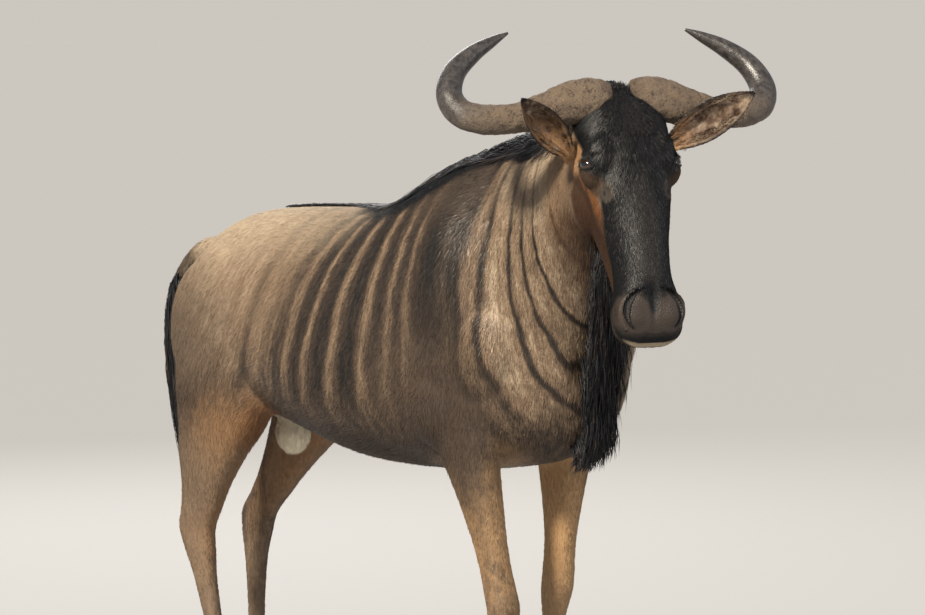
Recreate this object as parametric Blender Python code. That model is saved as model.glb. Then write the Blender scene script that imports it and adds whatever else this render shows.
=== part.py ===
# A blue wildebeest bull at life size, standing with its head raised and turned to its right.
# Metres, +Z up, +X the way the body faces, +Y the animal's left, hooves on z = 0.
import math
import random

import bmesh
import bpy
from mathutils import Matrix, Vector
from mathutils.bvhtree import BVHTree

GAP = 0.0003
EYE_CLEARANCE = 0.0005
BODY_VOXEL = 0.0085
HEAD_VOXEL = 0.0042
BODY_FACES = 3700
HEAD_FACES = 1850
SEED = 7

# The head's own frame runs from the poll: u down the face, v out of the face, w to its left.
POLL = Vector((0.779, -0.123, 1.550))
HEAD_YAW = math.radians(-25.1)
HEAD_SLOPE = math.radians(66.3)
HEAD_ROLL = math.radians(1.1)

# Trunk sections along x: top z, bottom z, half width, and how much wider the section is low down.
TRUNK = (
    (-0.735, 1.130, 0.960, 0.050, 0.00),
    (-0.700, 1.175, 0.860, 0.090, 0.00),
    (-0.620, 1.222, 0.800, 0.140, 0.00),
    (-0.500, 1.262, 0.765, 0.185, 0.08),
    (-0.360, 1.276, 0.750, 0.212, 0.10),
    (-0.200, 1.283, 0.742, 0.235, 0.12),
    (-0.040, 1.292, 0.742, 0.255, 0.12),
    (0.100, 1.335, 0.748, 0.258, 0.10),
    (0.220, 1.392, 0.752, 0.242, 0.08),
    (0.330, 1.412, 0.765, 0.222, 0.08),
    (0.440, 1.385, 0.790, 0.188, 0.10),
    (0.520, 1.310, 0.840, 0.140, 0.10),
    (0.570, 1.200, 0.920, 0.085, 0.05),
)
# Neck sections: crest point, throat point, half width, turn of the section in degrees.
NECK = (
    ((0.200, 0.000, 1.375), (0.420, 0.000, 0.830), 0.205, 0),
    ((0.340, 0.000, 1.418), (0.545, 0.000, 0.975), 0.170, -3),
    ((0.480, -0.020, 1.440), (0.615, -0.015, 1.120), 0.130, -10),
    ((0.600, -0.060, 1.465), (0.670, -0.055, 1.230), 0.103, -18),
    ((0.710, -0.100, 1.480), (0.740, -0.105, 1.290), 0.085, -25),
)
# Head sections: u, v of the face line, v of the jaw line, half width, extra width low down.
HEAD = (
    (-0.012, -0.040, -0.100, 0.045, 0.00),
    (0.022, -0.006, -0.140, 0.080, 0.00),
    (0.080, 0.012, -0.172, 0.096, 0.00),
    (0.150, 0.018, -0.192, 0.092, -0.06),
    (0.220, 0.017, -0.188, 0.076, -0.08),
    (0.300, 0.013, -0.160, 0.060, -0.06),
    (0.370, 0.009, -0.130, 0.053, 0.00),
    (0.425, 0.004, -0.112, 0.064, 0.06),
    (0.462, -0.008, -0.102, 0.068, 0.06),
    (0.488, -0.026, -0.088, 0.060, 0.03),
    (0.504, -0.046, -0.072, 0.034, 0.00),
)
# Leg sections down the limb: z, x of the middle, y out from the midline, half length, half width.
FORE_LEG = (
    (1.080, 0.300, 0.120, 0.130, 0.075),
    (0.960, 0.318, 0.132, 0.125, 0.074),
    (0.870, 0.322, 0.136, 0.100, 0.060),
    (0.790, 0.324, 0.134, 0.072, 0.049),
    (0.700, 0.330, 0.131, 0.051, 0.041),
    (0.610, 0.334, 0.128, 0.038, 0.034),
    (0.540, 0.336, 0.126, 0.036, 0.036),
    (0.500, 0.336, 0.125, 0.037, 0.036),
    (0.445, 0.330, 0.124, 0.029, 0.028),
    (0.360, 0.331, 0.123, 0.023, 0.021),
    (0.220, 0.332, 0.122, 0.023, 0.021),
    (0.155, 0.332, 0.121, 0.033, 0.028),
    (0.100, 0.349, 0.121, 0.025, 0.025),
    (0.060, 0.368, 0.121, 0.032, 0.031),
    (0.030, 0.374, 0.121, 0.036, 0.033),
)
HIND_LEG = (
    (1.090, -0.505, 0.105, 0.150, 0.080),
    (0.980, -0.495, 0.128, 0.165, 0.082),
    (0.880, -0.478, 0.146, 0.172, 0.070),
    (0.800, -0.474, 0.152, 0.162, 0.060),
    (0.730, -0.510, 0.152, 0.132, 0.048),
    (0.660, -0.548, 0.146, 0.098, 0.039),
    (0.600, -0.584, 0.140, 0.073, 0.033),
    (0.550, -0.612, 0.135, 0.062, 0.031),
    (0.500, -0.606, 0.131, 0.047, 0.031),
    (0.440, -0.592, 0.128, 0.034, 0.026),
    (0.330, -0.562, 0.125, 0.026, 0.022),
    (0.220, -0.530, 0.122, 0.026, 0.022),
    (0.155, -0.512, 0.121, 0.035, 0.029),
    (0.100, -0.490, 0.121, 0.026, 0.026),
    (0.060, -0.472, 0.121, 0.033, 0.032),
    (0.030, -0.466, 0.121, 0.037, 0.034),
)
# How far each foot is carried forward for each metre of drop, above and below the limb's joint.
LIMBS = {
    "leg_front_right": ("fore", -1, 0.27, 0.06),
    "leg_front_left": ("fore", 1, -0.08, -0.04),
    "leg_hind_right": ("hind", -1, 0.00, 0.00),
    "leg_hind_left": ("hind", 1, -0.29, -0.24),
}
# Leg cuts: lowest and highest x, height beside the midline and rise for each metre outwards.
CUTS = {"fore": (0.13, 0.60, 0.80, 0.90), "hind": (-1.10, -0.26, 0.79, 1.10)}
FORE_TOP, FORE_JOINT = 0.85, 0.50
HIND_TOP, HIND_JOINT = 1.00, 0.55
CORONET = 0.056
# Dewclaws: how far behind and beside the fetlock's middle they lie, and the fetlock's height.
DEWCLAW = (0.033, 0.014, 0.155)

# Muscles and bony swellings: centre, radii, and turns about y then z in degrees.
MUSCLES = (
    ((0.275, 0.152, 1.090), (0.125, 0.085, 0.230), 14, 4),
    ((0.390, 0.140, 1.010), (0.100, 0.075, 0.130), 30, 10),
    ((0.270, 0.150, 0.930), (0.105, 0.080, 0.120), -10, 0),
    ((-0.490, 0.104, 1.050), (0.185, 0.094, 0.150), 10, 4),
    ((-0.615, 0.088, 0.990), (0.112, 0.088, 0.170), 0, 0),
    ((-0.430, 0.146, 0.930), (0.130, 0.070, 0.150), 20, 0),
)
BRISKET = ((0.470, 0.0, 0.960), (0.105, 0.120, 0.150))
SCROTUM = ((-0.445, 0.0, 0.745), (0.050, 0.038, 0.052))

# Eye: centre in the head's frame, the way it faces, and the half length and height of its opening.
EYE_LOCAL = (0.155, -0.028, 0.079)
EYE_FACING = (0.0, 0.55, 0.835)
EYE_SLANT = math.radians(25)
EYE_RADIUS = 0.0205
LID_OPENING = (0.0165, 0.0098)
# Nostril: u, turn in degrees from the face line round to the side, half width of the slit.
NOSTRIL = (
    (0.404, 20, 0.0020),
    (0.412, 40, 0.0052),
    (0.428, 57, 0.0068),
    (0.450, 66, 0.0060),
    (0.468, 60, 0.0022),
)
MUZZLE_MIDDLE = -0.052
# Masses of the face in the head's frame: centre and radii, those beside the midline made twice.
FACE_MASSES = (
    ((0.150, -0.031, 0.071), (0.044, 0.031, 0.030)),
    ((0.175, -0.120, 0.060), (0.075, 0.066, 0.032)),
    ((0.128, 0.000, 0.050), (0.040, 0.018, 0.034)),
    ((0.440, -0.022, 0.031), (0.046, 0.031, 0.041)),
    ((0.440, -0.058, 0.040), (0.046, 0.036, 0.032)),
    ((0.446, -0.090, 0.000), (0.040, 0.022, 0.042)),
    ((0.016, -0.056, 0.000), (0.034, 0.044, 0.056)),
)
# Mouth: u and v of the middle that its line goes round, depth, and how far round it goes.
LIPS = (0.425, -0.072, 0.0022)
LIP_TURN = 105
# Horn: u, v, w of its middle, and its radii across the head and out of the face.
HORN_PATH = (
    (0.010, -0.034, 0.018, 0.028, 0.022),
    (0.008, -0.036, 0.045, 0.042, 0.034),
    (0.010, -0.042, 0.085, 0.043, 0.036),
    (0.019, -0.050, 0.125, 0.039, 0.034),
    (0.026, -0.058, 0.165, 0.032, 0.030),
    (0.031, -0.067, 0.213, 0.029, 0.028),
    (0.027, -0.078, 0.262, 0.029, 0.028),
    (0.006, -0.090, 0.302, 0.028, 0.027),
    (-0.034, -0.100, 0.316, 0.026, 0.025),
    (-0.083, -0.108, 0.298, 0.023, 0.022),
    (-0.122, -0.112, 0.257, 0.018, 0.018),
    (-0.149, -0.114, 0.213, 0.011, 0.011),
    (-0.166, -0.114, 0.180, 0.003, 0.003),
)
# Ears: side, root, tip and the way the cup faces, in the head's frame.
EARS = {
    "ear_right": (-1, (0.100, -0.054, -0.084), (0.033, 0.046, -0.217), (0.695, 0.700, 0.171)),
    "ear_left": (1, (0.102, -0.052, 0.086), (0.032, 0.034, 0.246), (0.300, 0.950, -0.050)),
}
EAR_WIDTH = 0.041
EAR_WALL = 0.005
# Ear outline: share of its length and of its width.
EAR_OUTLINE = ((-0.06, 0.40), (0.08, 0.52), (0.20, 0.76), (0.36, 0.97), (0.52, 1.0),
               (0.68, 0.88), (0.82, 0.62), (0.92, 0.36), (1.0, 0.10))
# Claw of a hoof: height, reach to the toe and to the heel, and half width.
CLAW_OUTLINE = (
    (0.000, 0.054, 0.040, 0.0185),
    (0.012, 0.050, 0.038, 0.0185),
    (0.034, 0.036, 0.036, 0.0170),
    (CORONET - GAP, 0.022, 0.032, 0.0150),
)
CLAW_APART = 0.0175
TAIL_CUT = -0.748
TAIL_DOCK = (
    (-0.690, 0.000, 1.165, 0.034),
    (-0.752, -0.010, 1.155, 0.030),
    (-0.806, -0.028, 1.100, 0.025),
    (-0.824, -0.036, 1.020, 0.022),
    (-0.808, -0.030, 0.920, 0.019),
    (-0.794, -0.020, 0.830, 0.016),
    (-0.786, -0.015, 0.760, 0.012),
)

# Cores under the long hair, half way to its tips: x, y, z, half width and half depth.
MANE_CORE = (
    (-0.120, 0.000, 1.272, 0.014, 0.012),
    (0.000, 0.000, 1.292, 0.022, 0.018),
    (0.120, 0.000, 1.344, 0.028, 0.022),
    (0.240, 0.000, 1.388, 0.034, 0.026),
    (0.360, -0.006, 1.416, 0.036, 0.028),
    (0.480, -0.024, 1.440, 0.034, 0.028),
    (0.600, -0.060, 1.464, 0.030, 0.026),
    (0.690, -0.092, 1.484, 0.022, 0.020),
)
TASSEL_CORE = (
    (-0.824, -0.036, 1.030, 0.020, 0.020),
    (-0.810, -0.030, 0.900, 0.024, 0.024),
    (-0.796, -0.020, 0.760, 0.024, 0.024),
    (-0.792, -0.014, 0.660, 0.016, 0.016),
    (-0.792, -0.012, 0.600, 0.006, 0.006),
)
# Mane along the crest: x, y, lock length, rise over the crest, share that falls to the side.
MANE = (
    (-0.150, 0.000, 0.080, 0.002, 0.10),
    (-0.010, 0.000, 0.110, 0.008, 0.12),
    (0.120, 0.000, 0.135, 0.006, 0.20),
    (0.260, 0.000, 0.155, 0.011, 0.34),
    (0.400, -0.008, 0.170, 0.018, 0.60),
    (0.540, -0.038, 0.165, 0.018, 0.88),
    (0.660, -0.082, 0.130, 0.016, 0.95),
)
MANE_ROWS = 18
# Width of a lock that stands, what is added to one that falls, and thickness.
MANE_LOCK = (0.043, 0.022, 0.014)
# Beard down the throat: x, y, z, lock length.
BEARD = (
    (0.692, -0.070, 1.222, 0.120),
    (0.666, -0.048, 1.160, 0.150),
    (0.640, -0.025, 1.080, 0.165),
    (0.600, -0.008, 0.990, 0.145),
    (0.560, 0.000, 0.900, 0.110),
    (0.500, 0.000, 0.820, 0.070),
)
BEARD_ROWS = 9
BEARD_LOCK = (0.052, 0.016)
TAIL_LOCKS = 12
TAIL_LOCK = (0.036, 0.016)
FORELOCK_ROWS = 4
FORELOCK = (0.032, 0.008)
THROAT_ROWS = 3
THROAT_LOCK = (0.040, 0.012)
# How deep the roots of the locks sink into the body and the head.
BODY_ROOT, HEAD_ROOT = 0.020, 0.008


def head_axes():
    """Directions of u, v and w in the world."""
    facing = Vector((math.cos(HEAD_YAW), math.sin(HEAD_YAW), 0.0))
    left = Vector((-math.sin(HEAD_YAW), math.cos(HEAD_YAW), 0.0))
    up = Vector((0.0, 0.0, 1.0))
    down_face = facing * math.cos(HEAD_SLOPE) - up * math.sin(HEAD_SLOPE)
    out_face = facing * math.sin(HEAD_SLOPE) + up * math.cos(HEAD_SLOPE)
    roll = Matrix.Rotation(HEAD_ROLL, 3, facing)
    return roll @ down_face, roll @ out_face, roll @ left


AXIS_U, AXIS_V, AXIS_W = head_axes()


def on_head(u, v, w):
    """World place of a point given in the head's frame."""
    return POLL + AXIS_U * u + AXIS_V * v + AXIS_W * w


def along_head(u, v, w):
    """World direction of a direction given in the head's frame."""
    return (AXIS_U * u + AXIS_V * v + AXIS_W * w).normalized()


def spline(rows, position):
    """Row between rows at a fractional index, on a Catmull-Rom curve through all of them."""
    last = len(rows) - 1
    index = min(int(position), last - 1)
    t = position - index
    before, start = rows[max(index - 1, 0)], rows[index]
    end, after = rows[index + 1], rows[min(index + 2, last)]
    return [
        0.5 * (2 * b + (c - a) * t + (2 * a - 5 * b + 4 * c - d) * t * t
               + (3 * b - a - 3 * c + d) * t ** 3)
        for a, b, c, d in zip(before, start, end, after)
    ]


def densify(rows, steps):
    """All rows of a smooth curve with a number of steps between each pair."""
    total = (len(rows) - 1) * steps
    return [spline(rows, i / steps) for i in range(total + 1)]


def mesh_object(name, bm):
    """Object from a bmesh, its faces turned outwards."""
    bmesh.ops.recalc_face_normals(bm, faces=bm.faces)
    mesh = bpy.data.meshes.new(name)
    bm.to_mesh(mesh)
    bm.free()
    shape = bpy.data.objects.new(name, mesh)
    bpy.context.scene.collection.objects.link(shape)
    return shape


def skin_rings(name, rings):
    """Closed tube through rings of points, each end closed by a fan."""
    bm = bmesh.new()
    loops = [[bm.verts.new(point) for point in ring] for ring in rings]
    count = len(loops[0])
    for first, second in zip(loops, loops[1:]):
        for i in range(count):
            j = (i + 1) % count
            bm.faces.new((first[i], first[j], second[j], second[i]))
    for loop in (loops[0], loops[-1]):
        middle = bm.verts.new(sum((v.co for v in loop), Vector()) / count)
        for i in range(count):
            bm.faces.new((loop[i], loop[(i + 1) % count], middle))
    return mesh_object(name, bm)


def section(front, back, side, width, egg, count, power=2.3):
    """Ring of a rounded section, front and back its two ends, egg its extra width at the back."""
    middle = (front + back) / 2
    reach = (front - back) / 2
    points = []
    for i in range(count):
        angle = 2 * math.pi * i / count
        c, s = math.cos(angle), math.sin(angle)
        along = math.copysign(abs(c) ** (2 / power), c)
        across = math.copysign(abs(s) ** (2 / power), s)
        points.append(middle + reach * along + side * across * width * (1 - egg * along))
    return points


def trunk_form():
    """Chest, barrel and rump."""
    rings = []
    for x, top, bottom, width, egg in densify(TRUNK, 3):
        rings.append(section(Vector((x, 0, top)), Vector((x, 0, bottom)), Vector((0, 1, 0)),
                             width, egg, 32))
    return skin_rings("trunk", rings)


def neck_form():
    """Neck from the chest to the back of the head."""
    rows = [(*crest, *throat, width, turn) for crest, throat, width, turn in NECK]
    rings = []
    for row in densify(rows, 4):
        turn = math.radians(row[7])
        side = Vector((-math.sin(turn), math.cos(turn), 0))
        rings.append(section(Vector(row[0:3]), Vector(row[3:6]), side, row[6], 0.12, 32))
    return skin_rings("neck_form", rings)


def head_form():
    """Skull, face and muzzle."""
    rings = []
    for u, face, jaw, width, egg in densify(HEAD, 4):
        rings.append(section(on_head(u, face, 0), on_head(u, jaw, 0), AXIS_W, width, egg, 40))
    return skin_rings("head_form", rings)


def limb_shift(kind, z, upper, lower):
    """Forward shift of a limb's section at a height, from its slope above and below the joint."""
    top, joint = (FORE_TOP, FORE_JOINT) if kind == "fore" else (HIND_TOP, HIND_JOINT)
    z = max(z, CORONET)
    if z >= top:
        return 0.0
    if z >= joint:
        return upper * (top - z)
    return upper * (top - joint) + lower * (joint - z)


def limb_rows(name):
    """Sections of one limb in its own pose, as z, x, y, half length and half width."""
    kind, side, upper, lower = LIMBS[name]
    table = FORE_LEG if kind == "fore" else HIND_LEG
    return [
        (z, x + limb_shift(kind, z, upper, lower), side * y, length, width)
        for z, x, y, length, width in table
    ]


def limb_form(name):
    """One leg from inside the body to the coronet."""
    rings = []
    for z, x, y, length, width in densify(limb_rows(name), 3):
        rings.append(section(Vector((x + length, y, z)), Vector((x - length, y, z)),
                             Vector((0, 1, 0)), width, 0.0, 20))
    return skin_rings(name + "_form", rings)


def ellipsoid(name, centre, radii, rotation=None, segments=24, rings=14):
    """Ellipsoid turned by a rotation matrix about its centre."""
    bm = bmesh.new()
    bmesh.ops.create_uvsphere(bm, u_segments=segments, v_segments=rings, radius=1.0)
    turn = rotation.to_4x4() if rotation else Matrix.Identity(4)
    place = Matrix.Translation(Vector(centre)) @ turn @ Matrix.Diagonal((*radii, 1.0))
    bmesh.ops.transform(bm, matrix=place, verts=bm.verts)
    return mesh_object(name, bm)


def muscle_forms():
    """Shoulder, arm, haunch and thigh masses on both sides, brisket and scrotum."""
    shapes = []
    for side in (-1, 1):
        for centre, radii, pitch, yaw in MUSCLES:
            turn = Matrix.Rotation(math.radians(side * yaw), 3, "Z")
            turn = turn @ Matrix.Rotation(math.radians(pitch), 3, "Y")
            place = (centre[0], side * centre[1], centre[2])
            shapes.append(ellipsoid("muscle", place, radii, turn))
    shapes.append(ellipsoid("brisket", *BRISKET))
    shapes.append(ellipsoid("scrotum", *SCROTUM))
    return shapes


def face_forms():
    """Orbits, cheek bones, jaw, nasal pads, lips, chin and poll, in the head's frame."""
    frame = Matrix((AXIS_U, AXIS_V, AXIS_W)).transposed()
    shapes = []
    for (u, v, w), radii in FACE_MASSES:
        for side in (-1, 1) if w else (0,):
            shapes.append(ellipsoid("face", on_head(u, v, side * w), radii, frame))
    return shapes


def sweep(name, rows, hint, count=16):
    """Tube along rows of x, y, z and two radii, the first radius across, the second along hint."""
    points = [Vector(row[:3]) for row in rows]
    rings = []
    for i, row in enumerate(rows):
        tangent = (points[min(i + 1, len(points) - 1)] - points[max(i - 1, 0)]).normalized()
        depth_axis = (hint - tangent * hint.dot(tangent)).normalized()
        cross_axis = tangent.cross(depth_axis)
        ring = []
        for k in range(count):
            angle = 2 * math.pi * k / count
            ring.append(points[i] + cross_axis * math.cos(angle) * row[3]
                        + depth_axis * math.sin(angle) * row[4])
        rings.append(ring)
    return skin_rings(name, rings)


def tail_form():
    """Fleshy dock of the tail."""
    rows = [(x, y, z, r, r) for x, y, z, r in densify(TAIL_DOCK, 3)]
    return sweep("dock", rows, Vector((0, 1, 0)), 16)


def hair_cores():
    """Slim cores of the mane and the tail hair, under their locks."""
    return [
        sweep("mane_core", densify(MANE_CORE, 3), Vector((0, 0, 1))),
        sweep("tassel_core", densify(TASSEL_CORE, 3), Vector((0, 1, 0))),
    ]


def lock_shape(points, normals, width, thickness):
    """Flat lock that tapers to a point, its broad faces looking along the normals."""
    bm = bmesh.new()
    last = len(points) - 1
    loops = []
    for i in range(last):
        tangent = (points[i + 1] - points[max(i - 1, 0)]).normalized()
        across = tangent.cross(normals[i]).normalized()
        face = across.cross(tangent)
        share = i / last
        taper = math.sin(math.pi * (0.30 + 0.62 * share)) * (1.0 - 0.30 * share)
        half, deep = width / 2 * taper, thickness / 2 * taper
        corners = (across * half, face * deep, across * -half, face * -deep)
        loops.append([bm.verts.new(points[i] + corner) for corner in corners])
    tip = bm.verts.new(points[last])
    bm.faces.new(loops[0])
    for first, second in zip(loops, loops[1:]):
        for i in range(4):
            j = (i + 1) % 4
            bm.faces.new((first[i], first[j], second[j], second[i]))
    for i in range(4):
        bm.faces.new((loops[-1][i], loops[-1][(i + 1) % 4], tip))
    bmesh.ops.triangulate(bm, faces=bm.faces)
    return mesh_object("lock", bm)


def surface_of(shape):
    """Search tree of an object's surface."""
    return BVHTree.FromObject(shape, bpy.context.evaluated_depsgraph_get())


def lifted(tree, point, clearance):
    """A point, moved out where it lies less than a clearance over the surface."""
    spot, normal, _, _ = tree.find_nearest(point)
    height = (point - spot).dot(normal)
    return point + normal * max(clearance - height, 0.0), normal


def mane_locks(body):
    """Locks along the crest that rise, lean back and fall to both sides."""
    tree = surface_of(body)
    up = Vector((0, 0, 1))
    locks = []

    def crest(position):
        x, y, *_ = spline(MANE, position)
        return tree.ray_cast(Vector((x, y, 2.0)), -up)[0]

    for i in range(MANE_ROWS):
        for side in (-1, 1):
            position = (len(MANE) - 1) * (i + 0.5 + 0.25 * side) / MANE_ROWS
            _, _, length, rise, fall = spline(MANE, position)
            root = crest(position)
            back = (crest(max(position - 0.2, 0)) - root).normalized()
            out = back.cross(up).normalized() * -side
            length *= random.uniform(0.88, 1.12)
            fall *= random.uniform(0.8, 1.15)
            points, normals = [root - up * BODY_ROOT + out * 0.006], [out]
            for share, lift in ((0.24, 0.85), (0.60, 1.0), (1.0, 0.55)):
                spot = root + up * rise * lift + back * length * share * (1.1 - fall)
                spot += out * (0.008 + 0.45 * length * fall * share)
                spot -= up * 0.90 * length * fall * share ** 2
                spot, normal = lifted(tree, spot, 0.016 - 0.008 * share)
                points.append(spot)
                normals.append((out + normal * 2.0 * fall * share).normalized())
            width = MANE_LOCK[0] + MANE_LOCK[1] * fall
            locks.append(lock_shape(points, normals, width, MANE_LOCK[2]))
    return locks


def beard_locks(body):
    """Curtain of locks that hangs from the throat and the breast."""
    tree = surface_of(body)
    locks = []
    for i in range(BEARD_ROWS):
        for side in (-1, 1):
            share = (i + 0.5 + 0.25 * side) / BEARD_ROWS
            x, y, z, length = spline(BEARD, (len(BEARD) - 1) * share)
            across = Vector((0, side, 0)).lerp(AXIS_W * side, 1 - share).normalized()
            ahead = Vector((across.y, -across.x, 0)) * side
            root, normal, _, _ = tree.find_nearest(Vector((x, y, z)) + across * 0.016)
            length *= random.uniform(0.9, 1.12)
            lean = random.uniform(-0.06, 0.06)
            points = [root - normal * BODY_ROOT]
            for part, stand in ((0.20, 0.022), (0.58, 0.040), (1.0, 0.030)):
                spot = root + ahead * (stand + lean * length * part) + across * 0.018 * part
                points.append(spot - Vector((0, 0, length * part)))
            facing = (across + ahead * 0.35).normalized()
            locks.append(lock_shape(points, [facing] * 4, *BEARD_LOCK))
    return locks


def tail_locks():
    """Long locks that hang round the dock."""
    locks = []
    for i in range(TAIL_LOCKS):
        share = i / (TAIL_LOCKS - 1)
        x, y, z, _ = spline(TAIL_DOCK, 2.9 + 3.0 * share)
        turn = i * 2.4
        out = Vector((math.cos(turn), math.sin(turn) * 0.8, 0))
        length = (0.24 + 0.10 * share) * random.uniform(0.92, 1.08)
        core = Vector((x, y, z))
        lean = Vector((0.03, 0.02, -1.0))
        points = [core]
        for part, stand in ((0.22, 0.024), (0.62, 0.028), (1.0, 0.010)):
            points.append(core + out * stand + lean * length * part)
        locks.append(lock_shape(points, [out] * 4, *TAIL_LOCK))
    return locks


def face_locks(head):
    """Rough forelock between the horns and down the forehead, and hair under the jaw."""
    tree = surface_of(head)
    locks = []
    for i in range(FORELOCK_ROWS):
        count = 4 if i % 2 else 3
        for k in range(count):
            spread = k - (count - 1) / 2
            start = on_head(0.006 + 0.036 * i, 0.12, 0.025 * spread + random.uniform(-0.003, 0.003))
            root, normal, _, _ = tree.ray_cast(start, -AXIS_V)
            way = along_head(1.0, 0.0, 0.28 * spread + random.uniform(-0.2, 0.2))
            length = random.uniform(0.078, 0.094)
            points = [root - normal * HEAD_ROOT]
            for share, stand in ((0.22, 0.006), (0.60, 0.009), (1.0, 0.005)):
                spot, _ = lifted(tree, root + way * length * share, stand)
                points.append(spot)
            locks.append(lock_shape(points, [normal] * 4, *FORELOCK))
    for i in range(THROAT_ROWS):
        for side in (-1, 1):
            start = on_head(0.278 + 0.036 * (i + 0.25 * side), -0.30, side * 0.012)
            root, normal, _, _ = tree.ray_cast(start, AXIS_V)
            fall = Vector((-0.10, 0.03, -1)) * random.uniform(0.048, 0.058)
            points = [root - normal * HEAD_ROOT]
            for share, stand in ((0.28, 0.006), (0.66, 0.004), (1.0, -0.004)):
                points.append(root + normal * stand + fall * share)
            locks.append(lock_shape(points, [AXIS_W * side] * 4, *THROAT_LOCK))
    return locks


def horn_shape(name, side, grow=0.0):
    """One horn, thick and rough at its boss, round and slim at its tip."""
    rows = []
    for u, v, w, across, deep in densify(HORN_PATH, 2):
        rows.append((*on_head(u, v, side * w), across + grow, deep + grow))
    return sweep(name, rows, AXIS_V, 14)


def groove(name, head, starts, aims, radii):
    """Tube that follows the surface of the head where rays from outside meet it."""
    tree = surface_of(head)
    rows = []
    for start, aim, radius in zip(starts, aims, radii):
        hit, normal, _, _ = tree.ray_cast(start, (aim - start).normalized())
        if hit is not None:
            rows.append((*(hit - normal * radius * 0.35), radius, radius))
    return sweep(name, rows, AXIS_V, 6)


def nostril_cutter(head, side):
    """Comma shaped slit round the outer edge of one nasal pad."""
    starts, aims, radii = [], [], []
    for u, turn, radius in densify(NOSTRIL, 2):
        angle = math.radians(turn)
        aim = on_head(u, MUZZLE_MIDDLE, 0)
        way = AXIS_V * math.cos(angle) + AXIS_W * side * math.sin(angle)
        starts.append(aim + way * 0.15)
        aims.append(aim)
        radii.append(radius)
    return groove("nostril", head, starts, aims, radii)


def mouth_cutter(head):
    """Line of the mouth, from one corner round the front of the muzzle to the other."""
    u, v, radius = LIPS
    aim = on_head(u, v, 0)
    starts, aims, radii = [], [], []
    count = 16
    for i in range(count + 1):
        angle = math.radians(-LIP_TURN + 2 * LIP_TURN * i / count)
        way = AXIS_U * math.cos(angle) + AXIS_W * math.sin(angle)
        way = way - AXIS_V * 0.10 * abs(math.sin(angle))
        starts.append(aim + way * 0.20)
        aims.append(aim)
        radii.append(radius * (0.6 + 0.4 * math.cos(angle)))
    return groove("mouth", head, starts, aims, radii)


def lid_cutter(side):
    """Almond opening between the lids, flaring outwards from the eyeball."""
    centre = on_head(EYE_LOCAL[0], EYE_LOCAL[1], side * EYE_LOCAL[2])
    out = along_head(EYE_FACING[0], EYE_FACING[1], side * EYE_FACING[2])
    down_face = (AXIS_U - out * AXIS_U.dot(out)).normalized()
    inward = out.cross(down_face) * side
    inward = -inward if inward.dot(AXIS_W) * side > 0 else inward
    length_axis = inward * math.cos(EYE_SLANT) + down_face * math.sin(EYE_SLANT)
    height_axis = out.cross(length_axis)
    rings = []
    for depth, flare in ((0.004, 0.90), (0.0190, 1.0), (0.034, 1.45)):
        ring = []
        count = 20
        for k in range(count):
            angle = 2 * math.pi * k / count
            reach = LID_OPENING[0] * math.cos(angle)
            rise = LID_OPENING[1] * math.sin(angle) * abs(math.sin(angle)) ** 0.35
            ring.append(centre + out * depth + (length_axis * reach + height_axis * rise) * flare)
        rings.append(ring)
    return skin_rings("lids", rings)


def ear_shape(name):
    """One cupped ear, open towards the way it faces."""
    side, root, tip, facing = EARS[name]
    base, end = on_head(*root), on_head(*tip)
    axis = (end - base).normalized()
    length = (end - base).length
    front = along_head(*facing)
    front = (front - axis * front.dot(axis)).normalized()
    across = axis.cross(front)
    rings = []
    for share, fullness in EAR_OUTLINE:
        half = EAR_WIDTH * fullness
        cup = 1.0 - math.exp(-max(share, 0.0) * 7.0)
        depth = half * (0.95 - 0.45 * share)
        centre = base + axis * length * share
        wall = EAR_WALL * (1.0 - 0.55 * share)
        ring = []
        count = 9
        for k in range(count):
            angle = math.pi * k / (count - 1)
            ring.append(centre + across * math.cos(angle) * half
                        - front * (math.sin(angle) * depth - depth * 0.35))
        inner_half = max(half - wall, half * 0.55)
        for k in range(1, count - 1):
            angle = math.pi * (1 - k / (count - 1))
            inner_depth = depth - wall
            hollow = math.sin(angle) * inner_depth - depth * 0.35
            filled = -depth * 0.35 + 0.15 * depth
            back = filled + (hollow - filled) * cup
            ring.append(centre + across * math.cos(angle) * inner_half - front * back)
        rings.append(ring)
    return skin_rings(name, rings)


def claw_shape(name, x, y, side):
    """One claw of a hoof, flat soled, its toe forward and its inner side flatter."""
    rings = []
    for z, toe, heel, width in CLAW_OUTLINE:
        ring = []
        count = 12
        for k in range(count):
            angle = 2 * math.pi * k / count
            c, s = math.cos(angle), math.sin(angle)
            reach = toe if c > 0 else heel
            narrow = 1.0 - 0.35 * max(c, 0.0)
            flat = 0.55 if s * side < 0 else 1.0
            ring.append(Vector((x + reach * c, y + width * s * narrow * flat, z)))
        rings.append(ring)
    return skin_rings(name, rings)


def dewclaw_shape(name, x, y, z):
    """Small blunt claw behind the fetlock."""
    turn = Matrix.Rotation(math.radians(-25), 3, "Y")
    return ellipsoid(name, (x, y, z), (0.011, 0.009, 0.015), turn, 8, 5)


def join_remesh(name, shapes, voxel, passes, faces):
    """One closed mesh from overlapping forms, smoothed and thinned to a number of triangles."""
    bm = bmesh.new()
    for shape in shapes:
        bm.from_mesh(shape.data)
        remove(shape)
    whole = mesh_object(name, bm)
    remesh = whole.modifiers.new("Join", "REMESH")
    remesh.mode = "VOXEL"
    remesh.voxel_size = voxel
    smooth = whole.modifiers.new("Soften", "SMOOTH")
    smooth.factor = 0.5
    smooth.iterations = passes
    bake(whole)
    count = sum(len(face.vertices) - 2 for face in whole.data.polygons)
    thin = whole.modifiers.new("Thin", "DECIMATE")
    thin.ratio = faces / count
    thin.use_collapse_triangulate = True
    bake(whole)
    return whole


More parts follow.
